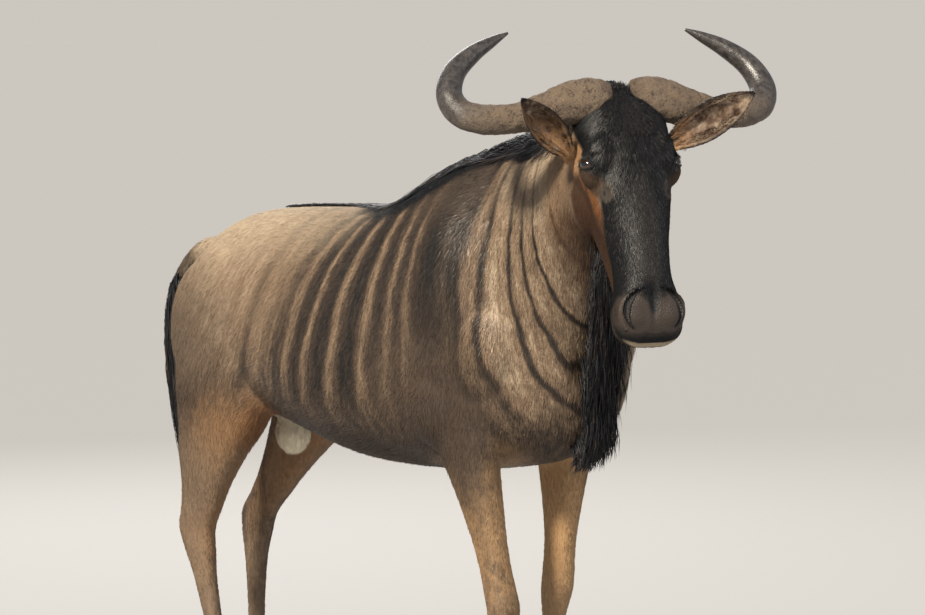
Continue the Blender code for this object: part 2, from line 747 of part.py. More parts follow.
def bake(shape):
    """Apply all modifiers of an object to its mesh."""
    graph = bpy.context.evaluated_depsgraph_get()
    mesh = bpy.data.meshes.new_from_object(shape.evaluated_get(graph))
    old = shape.data
    shape.modifiers.clear()
    shape.data = mesh
    mesh.name = shape.name
    bpy.data.meshes.remove(old)


def remove(shape):
    """Delete an object and its mesh."""
    mesh = shape.data
    bpy.data.objects.remove(shape)
    bpy.data.meshes.remove(mesh)


def copy_of(shape, name):
    """Copy of an object with its own mesh."""
    twin = bpy.data.objects.new(name, shape.data.copy())
    bpy.context.scene.collection.objects.link(twin)
    return twin


def grow_mesh(mesh, amount):
    """Move every face of a closed mesh outwards by an even amount."""
    bm = bmesh.new()
    bm.from_mesh(mesh)
    bm.normal_update()
    moves = [vertex.normal * amount * vertex.calc_shell_factor() for vertex in bm.verts]
    for vertex, move in zip(bm.verts, moves):
        vertex.co += move
    bm.to_mesh(mesh)
    bm.free()


def fattened(shape, amount):
    """Copy of a closed object, grown along its normals."""
    twin = copy_of(shape, shape.name + "_fat")
    grow_mesh(twin.data, amount)
    return twin


def boolean(shape, tool, operation):
    """Boolean of an object with one other object, applied."""
    step = shape.modifiers.new("Cut", "BOOLEAN")
    step.operation = operation
    step.object = tool
    step.solver = "EXACT"
    bake(shape)


def union_all(shape, pieces):
    """Fuse many closed pieces into an object in one Boolean union."""
    group = bpy.data.collections.new("pieces")
    bpy.context.scene.collection.children.link(group)
    for piece in pieces:
        bpy.context.scene.collection.objects.unlink(piece)
        group.objects.link(piece)
    step = shape.modifiers.new("Fuse", "BOOLEAN")
    step.operation = "UNION"
    step.operand_type = "COLLECTION"
    step.collection = group
    step.solver = "MANIFOLD"
    bake(shape)
    for piece in pieces:
        remove(piece)
    bpy.data.collections.remove(group)


def keep_largest(shape):
    """Keep only the closed surface of an object with the most volume."""
    bm = bmesh.new()
    bm.from_mesh(shape.data)
    bmesh.ops.triangulate(bm, faces=bm.faces)
    unseen = set(bm.verts)
    shells = []
    while unseen:
        stack = [unseen.pop()]
        shell = set(stack)
        while stack:
            for edge in stack.pop().link_edges:
                for vertex in edge.verts:
                    if vertex not in shell:
                        shell.add(vertex)
                        stack.append(vertex)
        unseen -= shell
        shells.append(shell)

    def volume(shell):
        faces = {face for vertex in shell for face in vertex.link_faces}
        total = 0.0
        for face in faces:
            a, b, c = (vertex.co for vertex in face.verts)
            total += a.dot(b.cross(c)) / 6
        return abs(total)

    best = max(shells, key=volume)
    loose = [vertex for vertex in bm.verts if vertex not in best]
    bmesh.ops.delete(bm, geom=loose, context="VERTS")
    bm.to_mesh(shape.data)
    bm.free()


def box_along(name, corner, normal, tangent, size, grow=0.0):
    """Box with one face's middle at corner, reaching size along normal, tangent and across."""
    normal, tangent = normal.normalized(), tangent.normalized()
    across = normal.cross(tangent)
    depth, length, width = size
    bm = bmesh.new()
    bmesh.ops.create_cube(bm, size=1.0)
    turn = Matrix((normal, tangent, across)).transposed().to_4x4()
    scale = Matrix.Diagonal((depth + 2 * grow, length + 2 * grow, width + 2 * grow, 1.0))
    centre = corner + normal * depth / 2
    place = Matrix.Translation(centre) @ turn @ scale
    bmesh.ops.transform(bm, matrix=place, verts=bm.verts)
    return mesh_object(name, bm)


def head_region(grow=0.0):
    """Box that holds the head, from a slanted plane behind the poll and the jaw."""
    top, bottom = on_head(-0.040, -0.055, 0), on_head(0.200, -0.205, 0)
    down = (bottom - top).normalized()
    forward = down.cross(AXIS_W)
    forward = forward if forward.dot(AXIS_V) > 0 else -forward
    return box_along("head_region", (top + bottom) / 2, forward, down, (0.9, 0.9, 0.9), grow)


def neck_region(grow=0.0):
    """Box that holds the neck, from the withers to the breast."""
    top, bottom = Vector((0.285, 0, 1.44)), Vector((0.560, 0, 0.930))
    down = (bottom - top).normalized()
    forward = Vector((0, 1, 0)).cross(down)
    forward = forward if forward.x > 0 else -forward
    return box_along("neck_region", (top + bottom) / 2, forward, down, (1.2, 1.2, 1.2), grow)


def limb_region(name, grow=0.0):
    """Wedge that holds one leg, from a plane that rises outwards below the flank."""
    kind, side, _, _ = LIMBS[name]
    low_x, high_x, start_z, rise = CUTS[kind]
    inner, outer, floor = 0.045, 0.40, -0.20
    profile = ((inner, start_z), (outer, start_z + rise * (outer - inner)), (outer, floor),
               (inner, floor))
    bm = bmesh.new()
    ends = [[bm.verts.new((x, side * y, z)) for y, z in profile] for x in (low_x, high_x)]
    for loop in ends:
        bm.faces.new(loop)
    for i in range(4):
        j = (i + 1) % 4
        bm.faces.new((ends[0][i], ends[0][j], ends[1][j], ends[1][i]))
    wedge = mesh_object(name + "_region", bm)
    if grow:
        grow_mesh(wedge.data, grow)
    return wedge


def tail_region(grow=0.0):
    """Box that holds the tail, behind the rump."""
    return box_along("tail_region", Vector((TAIL_CUT, -0.02, 0.80)), Vector((-1, 0, 0)),
                     Vector((0, 0, 1)), (0.4, 1.3, 0.16), grow)


def clear_regions():
    """Delete the cutting regions that are left in the scene."""
    for tool in [o for o in bpy.data.objects if "_region" in o.name]:
        remove(tool)


def part_off(whole, name, region):
    """Cut the piece inside a region off the whole, leaving the gap between them."""
    piece = copy_of(whole, name)
    boolean(piece, region(0.0), "INTERSECT")
    boolean(whole, region(GAP), "DIFFERENCE")
    keep_largest(piece)
    keep_largest(whole)
    clear_regions()
    return piece


def finish(name, shape, colour, roughness=0.8):
    """Give a node its name, material and smooth shading."""
    shape.name = name
    shape.data.name = name
    material = bpy.data.materials.get(colour[0]) or bpy.data.materials.new(colour[0])
    material.use_nodes = True
    shader = material.node_tree.nodes["Principled BSDF"]
    shader.inputs["Base Color"].default_value = (*colour[1], 1.0)
    shader.inputs["Roughness"].default_value = roughness
    shader.inputs["Metallic"].default_value = 0.0
    shape.data.materials.clear()
    shape.data.materials.append(material)
    shape.data.shade_smooth()
    shape.data.set_sharp_from_angle(angle=math.radians(40))
    return shape


COAT = ("coat", (0.20, 0.15, 0.11))
FACE = ("face", (0.03, 0.03, 0.035))
HAIR = ("long_hair", (0.015, 0.014, 0.016))
HORN = ("horn", (0.10, 0.08, 0.07))
CLAW = ("hoof", (0.035, 0.03, 0.028))
EYE = ("eye", (0.03, 0.015, 0.01))


def build():
    """Model every node, then stand the whole animal over the origin."""
    random.seed(SEED)
    nodes = []
    body_forms = [trunk_form(), neck_form(), tail_form(), *muscle_forms(), *hair_cores()]
    body_forms += [limb_form(name) for name in LIMBS]
    body = join_remesh("body", body_forms, BODY_VOXEL, 14, BODY_FACES)
    head = join_remesh("head_whole", [head_form(), neck_form(), *face_forms()], HEAD_VOXEL, 6,
                       HEAD_FACES)
    union_all(body, mane_locks(body) + beard_locks(body) + tail_locks())
    boolean(head, head_region(), "INTERSECT")
    keep_largest(head)
    union_all(head, face_locks(head))
    boolean(body, head_region(GAP), "DIFFERENCE")
    keep_largest(head)
    keep_largest(body)
    clear_regions()

    mouth = mouth_cutter(head)
    boolean(head, mouth, "DIFFERENCE")
    remove(mouth)
    for side, label in ((-1, "right"), (1, "left")):
        horn = horn_shape("horn_" + label, side)
        fat = horn_shape("horn_fat", side, GAP)
        boolean(head, fat, "DIFFERENCE")
        remove(fat)
        nodes.append(finish("horn_" + label, horn, HORN, 0.5))
        centre = on_head(EYE_LOCAL[0], EYE_LOCAL[1], side * EYE_LOCAL[2])
        eye = ellipsoid("eye_" + label, centre, (EYE_RADIUS,) * 3, segments=14, rings=9)
        socket = ellipsoid("socket", centre, (EYE_RADIUS + EYE_CLEARANCE,) * 3,
                           segments=16, rings=9)
        cutters = [socket, lid_cutter(side), nostril_cutter(head, side)]
        for cutter in cutters:
            boolean(head, cutter, "DIFFERENCE")
            remove(cutter)
        nodes.append(finish("eye_" + label, eye, EYE, 0.1))
        ear = ear_shape("ear_" + label)
        for neighbour in (head, horn):
            fat = fattened(neighbour, GAP)
            boolean(ear, fat, "DIFFERENCE")
            remove(fat)
        keep_largest(ear)
        nodes.append(finish("ear_" + label, ear, COAT))
    keep_largest(head)
    nodes.append(finish("head", head, FACE))

    fat = fattened(head, GAP * 0.8)
    boolean(body, fat, "DIFFERENCE")
    remove(fat)
    keep_largest(body)
    for name in LIMBS:
        leg = part_off(body, name, lambda grow, name=name: limb_region(name, grow))
        floor = box_along("floor_region", Vector((0, 0, CORONET)), Vector((0, 0, -1)),
                          Vector((1, 0, 0)), (0.5, 3.0, 3.0))
        boolean(leg, floor, "DIFFERENCE")
        remove(floor)
        keep_largest(leg)
        nodes.append(finish(name, leg, COAT))
        z, x, y, _, _ = limb_rows(name)[-1]
        kind = name.removeprefix("leg_")
        for half in (-1, 1):
            label = "outer" if half * y > 0 else "inner"
            claw = claw_shape("claw", x, y + half * CLAW_APART, half)
            nodes.append(finish("hoof_" + kind + "_" + label, claw, CLAW, 0.5))
            heel, across, height = DEWCLAW
            fetlock = next(row for row in limb_rows(name) if row[0] == height)
            dewclaw = dewclaw_shape("dewclaw", fetlock[1] - heel, fetlock[2] + half * across,
                                    height - 0.022)
            fat = fattened(leg, GAP)
            boolean(dewclaw, fat, "DIFFERENCE")
            remove(fat)
            keep_largest(dewclaw)
            nodes.append(finish("dewclaw_" + kind + "_" + label, dewclaw, CLAW, 0.5))
    tail = part_off(body, "tail", tail_region)
    nodes.append(finish("tail", tail, HAIR))
    neck = part_off(body, "neck", neck_region)
    nodes.append(finish("neck", neck, COAT))
    nodes.append(finish("torso", body, COAT))
    centre_on_floor(nodes)


def centre_on_floor(nodes):
    """Hang all nodes on one empty and move it so that the box's bottom centre is the origin."""
    low = [min((n.matrix_world @ v.co)[i] for n in nodes for v in n.data.vertices)
           for i in range(3)]
    high = [max((n.matrix_world @ v.co)[i] for n in nodes for v in n.data.vertices)
            for i in range(3)]
    root = bpy.data.objects.new("wildebeest", None)
    bpy.context.scene.collection.objects.link(root)
    for node in nodes:
        node.parent = root
    root.location = (-(low[0] + high[0]) / 2, -(low[1] + high[1]) / 2, -low[2])


for leftover in list(bpy.data.objects):
    bpy.data.objects.remove(leftover)
build()
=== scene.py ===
"""A blue wildebeest bull at life size, dressed in skin, coat, horn and hoof over its solids."""
import logging
import math
from dataclasses import dataclass, field
from enum import Enum
from typing import Iterable, Sequence

import bmesh
import bpy
import numpy as np
from mathutils import Matrix, Vector, noise
from mathutils.bvhtree import BVHTree
from mathutils.kdtree import KDTree


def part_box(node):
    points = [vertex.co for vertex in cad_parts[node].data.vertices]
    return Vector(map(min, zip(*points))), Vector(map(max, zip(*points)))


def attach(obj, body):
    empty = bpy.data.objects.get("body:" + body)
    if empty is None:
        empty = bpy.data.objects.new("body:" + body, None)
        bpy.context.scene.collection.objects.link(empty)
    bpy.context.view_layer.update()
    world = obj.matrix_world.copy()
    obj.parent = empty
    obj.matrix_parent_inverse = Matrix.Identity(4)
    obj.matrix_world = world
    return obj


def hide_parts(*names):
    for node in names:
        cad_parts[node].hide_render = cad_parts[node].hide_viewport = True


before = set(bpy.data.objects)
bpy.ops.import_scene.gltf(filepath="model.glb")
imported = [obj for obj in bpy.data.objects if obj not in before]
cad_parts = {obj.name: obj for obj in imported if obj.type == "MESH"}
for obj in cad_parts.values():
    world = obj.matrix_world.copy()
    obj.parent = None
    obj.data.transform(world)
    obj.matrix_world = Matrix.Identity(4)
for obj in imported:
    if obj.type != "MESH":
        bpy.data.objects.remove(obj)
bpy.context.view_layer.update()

LOG = logging.getLogger("wildebeest")
Array, Random = np.ndarray, np.random.Generator
Shape, Socket, Material = bpy.types.Object, bpy.types.NodeSocket, bpy.types.Material
Row, Triple = Sequence[float], tuple[float, float, float]
Colour = Triple

# Trunk sections along x: top z, bottom z, half width, and how much wider the section is low down.
TRUNK = (
    (-0.735, 1.13, 0.96, 0.05, 0.0), (-0.7, 1.175, 0.86, 0.09, 0.0), (-0.62, 1.222, 0.82, 0.14, 0.0),
    (-0.5, 1.262, 0.805, 0.185, 0.08), (-0.36, 1.276, 0.806, 0.212, 0.1), (-0.2, 1.283, 0.778, 0.235, 0.12),
    (-0.04, 1.292, 0.752, 0.255, 0.12), (0.1, 1.335, 0.748, 0.258, 0.1), (0.22, 1.392, 0.752, 0.242, 0.08),
    (0.33, 1.412, 0.765, 0.222, 0.08), (0.44, 1.385, 0.79, 0.188, 0.1), (0.52, 1.31, 0.84, 0.14, 0.1),
    (0.57, 1.2, 0.92, 0.085, 0.05),
)
# Neck sections: crest x, y, z, throat x, y, z, half width, turn of the section in degrees.
NECK = (
    (0.2, 0.0, 1.375, 0.42, 0.0, 0.83, 0.205, 0), (0.34, 0.0, 1.418, 0.545, 0.0, 0.975, 0.17, -3),
    (0.48, -0.02, 1.44, 0.615, -0.015, 1.12, 0.13, -10),
    (0.6, -0.06, 1.465, 0.67, -0.055, 1.23, 0.103, -18), (0.71, -0.1, 1.48, 0.74, -0.105, 1.29, 0.085, -25),
)
# Head sections: u, v of the face line, v of the jaw line, half width, extra width low down.
HEAD = (
    (-0.012, -0.04, -0.1, 0.045, 0.0), (0.022, -0.006, -0.14, 0.08, 0.0), (0.08, 0.012, -0.172, 0.096, 0.0),
    (0.15, 0.018, -0.192, 0.092, -0.06), (0.22, 0.017, -0.188, 0.076, -0.08),
    (0.3, 0.013, -0.16, 0.06, -0.06), (0.37, 0.01, -0.13, 0.054, 0.0), (0.405, 0.008, -0.118, 0.06, 0.04),
    (0.435, 0.002, -0.11, 0.065, 0.06), (0.462, -0.008, -0.102, 0.066, 0.06),
    (0.484, -0.024, -0.088, 0.058, 0.03), (0.5, -0.044, -0.072, 0.034, 0.0),
)
# Leg sections down the limb: z, x of the middle, y out from the midline, half length, half width.
FORE_LEG = (
    (1.08, 0.3, 0.12, 0.13, 0.075), (0.96, 0.318, 0.132, 0.125, 0.074), (0.87, 0.322, 0.136, 0.1, 0.06),
    (0.79, 0.324, 0.134, 0.072, 0.049), (0.7, 0.33, 0.131, 0.051, 0.041),
    (0.61, 0.334, 0.128, 0.038, 0.034), (0.54, 0.336, 0.126, 0.036, 0.036),
    (0.5, 0.336, 0.125, 0.037, 0.036), (0.445, 0.33, 0.124, 0.029, 0.028),
    (0.36, 0.331, 0.123, 0.023, 0.021), (0.22, 0.332, 0.122, 0.023, 0.021),
    (0.155, 0.332, 0.121, 0.033, 0.028), (0.1, 0.349, 0.121, 0.025, 0.025),
    (0.062, 0.367, 0.121, 0.032, 0.031), (0.036, 0.374, 0.121, 0.026, 0.024),
)
HIND_LEG = (
    (1.09, -0.505, 0.105, 0.15, 0.08), (0.98, -0.495, 0.128, 0.165, 0.082),
    (0.88, -0.48, 0.146, 0.168, 0.07), (0.8, -0.492, 0.152, 0.144, 0.06),
    (0.73, -0.527, 0.152, 0.113, 0.048), (0.66, -0.561, 0.146, 0.082, 0.039),
    (0.6, -0.588, 0.14, 0.068, 0.033), (0.55, -0.613, 0.135, 0.06, 0.031),
    (0.5, -0.606, 0.131, 0.047, 0.031), (0.44, -0.592, 0.128, 0.034, 0.026),
    (0.33, -0.562, 0.125, 0.026, 0.022), (0.22, -0.53, 0.122, 0.026, 0.022),
    (0.155, -0.512, 0.121, 0.035, 0.029), (0.1, -0.49, 0.121, 0.026, 0.026),
    (0.062, -0.473, 0.121, 0.033, 0.032), (0.036, -0.466, 0.121, 0.026, 0.024),
)
# Muscles and bony swellings: centre, radii, and turns about y then z in degrees.
MUSCLES = (
    ((0.275, 0.152, 1.09), (0.125, 0.085, 0.23), 14, 4), ((0.39, 0.14, 1.01), (0.1, 0.075, 0.13), 30, 10),
    ((0.27, 0.15, 0.93), (0.105, 0.08, 0.12), -10, 0), ((-0.49, 0.104, 1.05), (0.185, 0.094, 0.15), 10, 4),
    ((-0.615, 0.088, 0.99), (0.112, 0.088, 0.17), 0, 0), ((-0.43, 0.146, 0.93), (0.13, 0.07, 0.15), 20, 0),
)
MIDLINE = (((0.47, 0.0, 0.96), (0.105, 0.12, 0.15)), ((-0.436, 0.0, 0.772), (0.05, 0.038, 0.054)))
TAIL_DOCK = (
    (-0.69, 0.0, 1.165, 0.034), (-0.752, -0.01, 1.155, 0.03), (-0.806, -0.028, 1.1, 0.025),
    (-0.824, -0.036, 1.02, 0.022), (-0.808, -0.03, 0.92, 0.019), (-0.794, -0.02, 0.83, 0.016),
    (-0.786, -0.015, 0.76, 0.012),
)
# Masses of the face in the head's frame: centre and radii, those beside the midline made twice.
FACE_MASSES = (
    ((0.15, -0.031, 0.071), (0.044, 0.031, 0.03)), ((0.175, -0.12, 0.06), (0.075, 0.066, 0.032)),
    ((0.128, -0.002, 0.048), (0.044, 0.014, 0.034)), ((0.438, -0.034, 0.031), (0.042, 0.036, 0.036)),
    ((0.44, -0.062, 0.037), (0.046, 0.036, 0.03)), ((0.446, -0.09, 0.0), (0.038, 0.02, 0.04)),
    ((0.016, -0.056, 0.0), (0.034, 0.044, 0.056)),
)
# Horn: u, v, w of its middle, and its radii across the head and out of the face.
HORN_PATH = (
    (0.01, -0.034, 0.018, 0.028, 0.022), (0.008, -0.036, 0.045, 0.042, 0.034),
    (0.01, -0.042, 0.085, 0.043, 0.036), (0.019, -0.05, 0.125, 0.039, 0.034),
    (0.026, -0.058, 0.165, 0.032, 0.03), (0.031, -0.067, 0.213, 0.029, 0.028),
    (0.027, -0.078, 0.262, 0.029, 0.028), (0.006, -0.09, 0.302, 0.028, 0.027),
    (-0.034, -0.1, 0.316, 0.026, 0.025), (-0.083, -0.108, 0.298, 0.023, 0.022),
    (-0.122, -0.112, 0.257, 0.018, 0.018), (-0.149, -0.114, 0.213, 0.011, 0.011),
    (-0.166, -0.114, 0.18, 0.003, 0.003),
)
EAR_OUTLINE = (
    (-0.06, 0.4), (0.08, 0.52), (0.2, 0.76), (0.36, 0.97), (0.52, 1.0), (0.68, 0.88), (0.82, 0.62),
    (0.92, 0.36), (1.0, 0.1),
)
# Nostril: u, turn in degrees from the face line round to the side, half width of the slit.
NOSTRIL = (
    (0.406, 14, 0.0016), (0.41, 30, 0.0052), (0.421, 43, 0.008), (0.438, 50, 0.0084), (0.456, 54, 0.0066),
    (0.476, 55, 0.0018),
)
# Lower edge of the black face mask: u, and v of the edge.
FACE_EDGE = (
    (-0.02, -0.09), (0.06, -0.064), (0.1, -0.045), (0.128, -0.026), (0.15, -0.01), (0.19, -0.012),
    (0.215, -0.024), (0.254, -0.038), (0.3, -0.054), (0.345, -0.068), (0.38, -0.082), (0.41, -0.1),
    (0.44, -0.125), (0.5, -0.14),
)


class Side(Enum):
    """The two sides of the animal, with the sign that its w and y take there."""

    RIGHT = -1
    LEFT = 1


class Slot(Enum):
    """Material slots of the record."""

    COAT = "coat"
    FACE = "face"
    HAIR = "long_hair"
    HORN = "horn"
    EYE = "eye"


def spline(rows: Sequence[Row], position: float) -> list[float]:
    """Row between rows at a fractional index, on a Catmull-Rom curve through all of them.

    Args:
        rows: Rows of equal length.
        position: Fractional index into the rows.

    Returns:
        The values of the row at that index.
    """
    last = len(rows) - 1
    index = min(int(position), last - 1)
    t = position - index
    near = (rows[max(index - 1, 0)], rows[index], rows[index + 1], rows[min(index + 2, last)])
    return [0.5 * (2 * b + (c - a) * t + (2 * a - 5 * b + 4 * c - d) * t * t
                   + (3 * b - a - 3 * c + d) * t ** 3) for a, b, c, d in zip(*near)]


def densify(rows: Sequence[Row], steps: int) -> list[list[float]]:
    """All rows of a smooth curve with a number of steps between each pair."""
    return [spline(rows, i / steps) for i in range((len(rows) - 1) * steps + 1)]


def unit(vectors: Array) -> Array:
    """Vectors brought to length one."""
    return vectors / np.maximum(np.linalg.norm(vectors, axis=-1, keepdims=True), 1e-9)


@dataclass(frozen=True)
class HeadFrame:
    """The head's own frame: u down the face, v out of it, w to the animal's left, in metres."""

    poll: Triple = (0.779, -0.123, 1.55)
    yaw: float = -25.1
    slope: float = 66.3
    roll: float = 1.1

    def axes(self) -> tuple[Vector, Vector, Vector]:
        """Directions of u, v and w.

        Returns:
            The three unit vectors.
        """
        yaw, slope = math.radians(self.yaw), math.radians(self.slope)
        facing = Vector((math.cos(yaw), math.sin(yaw), 0.0))
        left = Vector((-math.sin(yaw), math.cos(yaw), 0.0))
        up = Vector((0.0, 0.0, 1.0))
        turn = Matrix.Rotation(math.radians(self.roll), 3, facing)
        return (turn @ (facing * math.cos(slope) - up * math.sin(slope)),
                turn @ (facing * math.sin(slope) + up * math.cos(slope)), turn @ left)


HEAD_FRAME = HeadFrame()
AXIS_U, AXIS_V, AXIS_W = HEAD_FRAME.axes()
EYE_LOCAL = (0.155, -0.028, 0.079)
EYE_MIDDLE = (0.148, -0.026, 0.079)
EYE_FACING = (0.0, 0.55, 0.835)


def unshifted(u: float, v: float, w: float) -> Vector:
    """Place of a point of the head before the whole animal is centred."""
    return Vector(HEAD_FRAME.poll) + AXIS_U * u + AXIS_V * v + AXIS_W * w


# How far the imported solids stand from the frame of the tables.
SHIFT = sum(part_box("eye_left"), Vector()) / 2 - unshifted(*EYE_LOCAL)


def on_head(u: float, v: float, w: float) -> Vector:
    """Place of a point given in the head's frame."""
    return unshifted(u, v, w) + SHIFT


def along_head(u: float, v: float, w: float) -> Vector:
    """Unit direction given in the head's frame."""
    return (AXIS_U * u + AXIS_V * v + AXIS_W * w).normalized()


def on_body(x: float, y: float, z: float) -> Vector:
    """Place of a point given in the frame of the body tables."""
    return Vector((x, y, z)) + SHIFT


def head_local(points: Array) -> Array:
    """Points brought into the head's frame."""
    axes = np.array([AXIS_U, AXIS_V, AXIS_W])
    return (points - np.array(on_head(0, 0, 0))) @ axes.T


def deselect() -> None:
    """Deselect everything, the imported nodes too."""
    bpy.ops.object.select_all(action="DESELECT")


def pick(*shapes: Shape) -> None:
    """Select objects alone, the first one active.

    Args:
        shapes: The objects.
    """
    deselect()
    for shape in shapes:
        shape.select_set(True)
    bpy.context.view_layer.objects.active = shapes[0]


def apply_all(shape: Shape) -> None:
    """Apply an object's modifiers in their order."""
    pick(shape)
    for step in list(shape.modifiers):
        bpy.ops.object.modifier_apply(modifier=step.name)


def mesh_piece(name: str, points: Iterable, faces: Iterable) -> Shape:
    """Object from points and faces, its faces turned outwards.

    Args:
        name: Its name.
        points: The vertices.
        faces: Vertex indices of each face.

    Returns:
        The new object.
    """
    mesh = bpy.data.meshes.new(name)
    mesh.from_pydata([tuple(p) for p in points], [], list(faces))
    shape = bpy.data.objects.new(name, mesh)
    bpy.context.scene.collection.objects.link(shape)
    pick(shape)
    bpy.ops.object.mode_set(mode="EDIT")
    bpy.ops.mesh.select_all(action="SELECT")
    bpy.ops.mesh.normals_make_consistent(inside=False)
    bpy.ops.object.mode_set(mode="OBJECT")
    return shape


def loft(name: str, rings: Sequence[Sequence[Vector]]) -> Shape:
    """Closed tube through rings of points.

    Args:
        name: Its name.
        rings: Rings with the same number of points.

    Returns:
        The new object.
    """
    count = len(rings[0])
    points = [p for ring in rings for p in ring]
    faces = []
    for k in range(len(rings) - 1):
        for i in range(count):
            j = (i + 1) % count
            faces.append((k * count + i, k * count + j, (k + 1) * count + j, (k + 1) * count + i))
    for start, ring in ((0, rings[0]), ((len(rings) - 1) * count, rings[-1])):
        points.append(sum(ring, Vector()) / count)
        faces += [(start + i, start + (i + 1) % count, len(points) - 1) for i in range(count)]
    return mesh_piece(name, points, faces)


def section(front: Vector, back: Vector, side: Vector, width: float, egg: float, count: int,
            power: float = 2.3) -> list[Vector]:
    """Ring of a rounded section.

    Args:
        front: One end of the section.
        back: The other end.
        side: Direction across.
        width: Half width.
        egg: Extra share of width towards the back.
        count: Points round it.
        power: 2 is an ellipse, more is squarer.

    Returns:
        The points of the ring.
    """
    middle, reach, ring = (front + back) / 2, (front - back) / 2, []
    for i in range(count):
        angle = 2 * math.pi * i / count
        c, s = math.cos(angle), math.sin(angle)
        along = math.copysign(abs(c) ** (2 / power), c)
        across = math.copysign(abs(s) ** (2 / power), s)
        ring.append(middle + reach * along + side * across * width * (1 - egg * along))
    return ring


def sweep(name: str, rows: Sequence[Row], hint: Vector, count: int) -> Shape:
    """Tube along rows of x, y, z and two radii.

    Args:
        name: Its name.
        rows: Place and radii, across and along the hint.
        hint: Direction of the second radius.
        count: Points round it.

    Returns:
        The new object.
    """
    points = [Vector(row[:3]) for row in rows]
    rings = []
    for i, row in enumerate(rows):
        tangent = (points[min(i + 1, len(points) - 1)] - points[max(i - 1, 0)]).normalized()
        deep = (hint - tangent * hint.dot(tangent)).normalized()
        across = tangent.cross(deep)
        rings.append([points[i] + across * math.cos(2 * math.pi * k / count) * row[3]
                      + deep * math.sin(2 * math.pi * k / count) * row[4] for k in range(count)])
    return loft(name, rings)


def ball(name: str, centre: Vector, radii: Row, turn: Matrix = Matrix.Identity(3),
         segments: int = 32, rings: int = 18) -> Shape:
    """Ellipsoid mass from a sphere primitive, scaled and turned into place.

    Args:
        name: Its name.
        centre: Its middle.
        radii: Half its size along its three axes.
        turn: Its rotation.
        segments: Faces round it.
        rings: Faces from pole to pole.

    Returns:
        The new object, its place in its mesh.
    """
    deselect()
    bpy.ops.mesh.primitive_uv_sphere_add(segments=segments, ring_count=rings, radius=1.0)
    shape = bpy.context.active_object
    shape.name = name
    bpy.ops.transform.resize(value=tuple(radii))
    bpy.ops.object.transform_apply(location=False, rotation=False, scale=True)
    shape.matrix_world = Matrix.Translation(centre) @ turn.to_4x4()
    bpy.ops.object.transform_apply(location=True, rotation=True, scale=True)
    return shape


def join(name: str, shapes: Sequence[Shape]) -> Shape:
    """Join objects into one mesh.

    Args:
        name: Name of the whole.
        shapes: The objects.

    Returns:
        The joined object.
    """
    pick(*shapes)
    bpy.ops.object.join()
    whole = bpy.context.active_object
    whole.name = whole.data.name = name
    return whole


def boolean(shape: Shape, tool: Shape, operation: str) -> None:
    """Cut or fuse an object with a tool and delete the tool.

    Args:
        shape: The object that stays.
        tool: The object that cuts or is added.
        operation: Name of the operation.
    """
    step = shape.modifiers.new("Cut", "BOOLEAN")
    step.operation, step.object, step.solver = operation, tool, "MANIFOLD"
    apply_all(shape)
    bpy.data.objects.remove(tool)


def read(items: Sequence, name: str, size: int = 1, kind: type = np.float32) -> Array:
    """One property of all items as a flat array.

    Args:
        items: The items.
        name: The property's name.
        size: Numbers in it for each item.
        kind: Their kind.

    Returns:
        The numbers.
    """
    out = np.empty(len(items) * size, kind)
    items.foreach_get(name, out)
    return out


def coords(shape: Shape) -> Array:
    """Vertex places of an object, N x 3."""
    return read(shape.data.vertices, "co", 3).reshape(-1, 3).astype(float)


def normals(shape: Shape) -> Array:
    """Vertex normals of an object, N x 3."""
    return read(shape.data.vertex_normals, "vector", 3).reshape(-1, 3).astype(float)


def put_coords(shape: Shape, places: Array) -> None:
    """Write vertex places to an object."""
    shape.data.vertices.foreach_set("co", places.astype(np.float32).ravel())
    shape.data.update()


def set_attribute(mesh: bpy.types.Mesh, name: str, values: Array) -> None:
    """Write one number for each vertex."""
    layer = mesh.attributes.get(name) or mesh.attributes.new(name, "FLOAT", "POINT")
    layer.data.foreach_set("value", values.astype(np.float32))


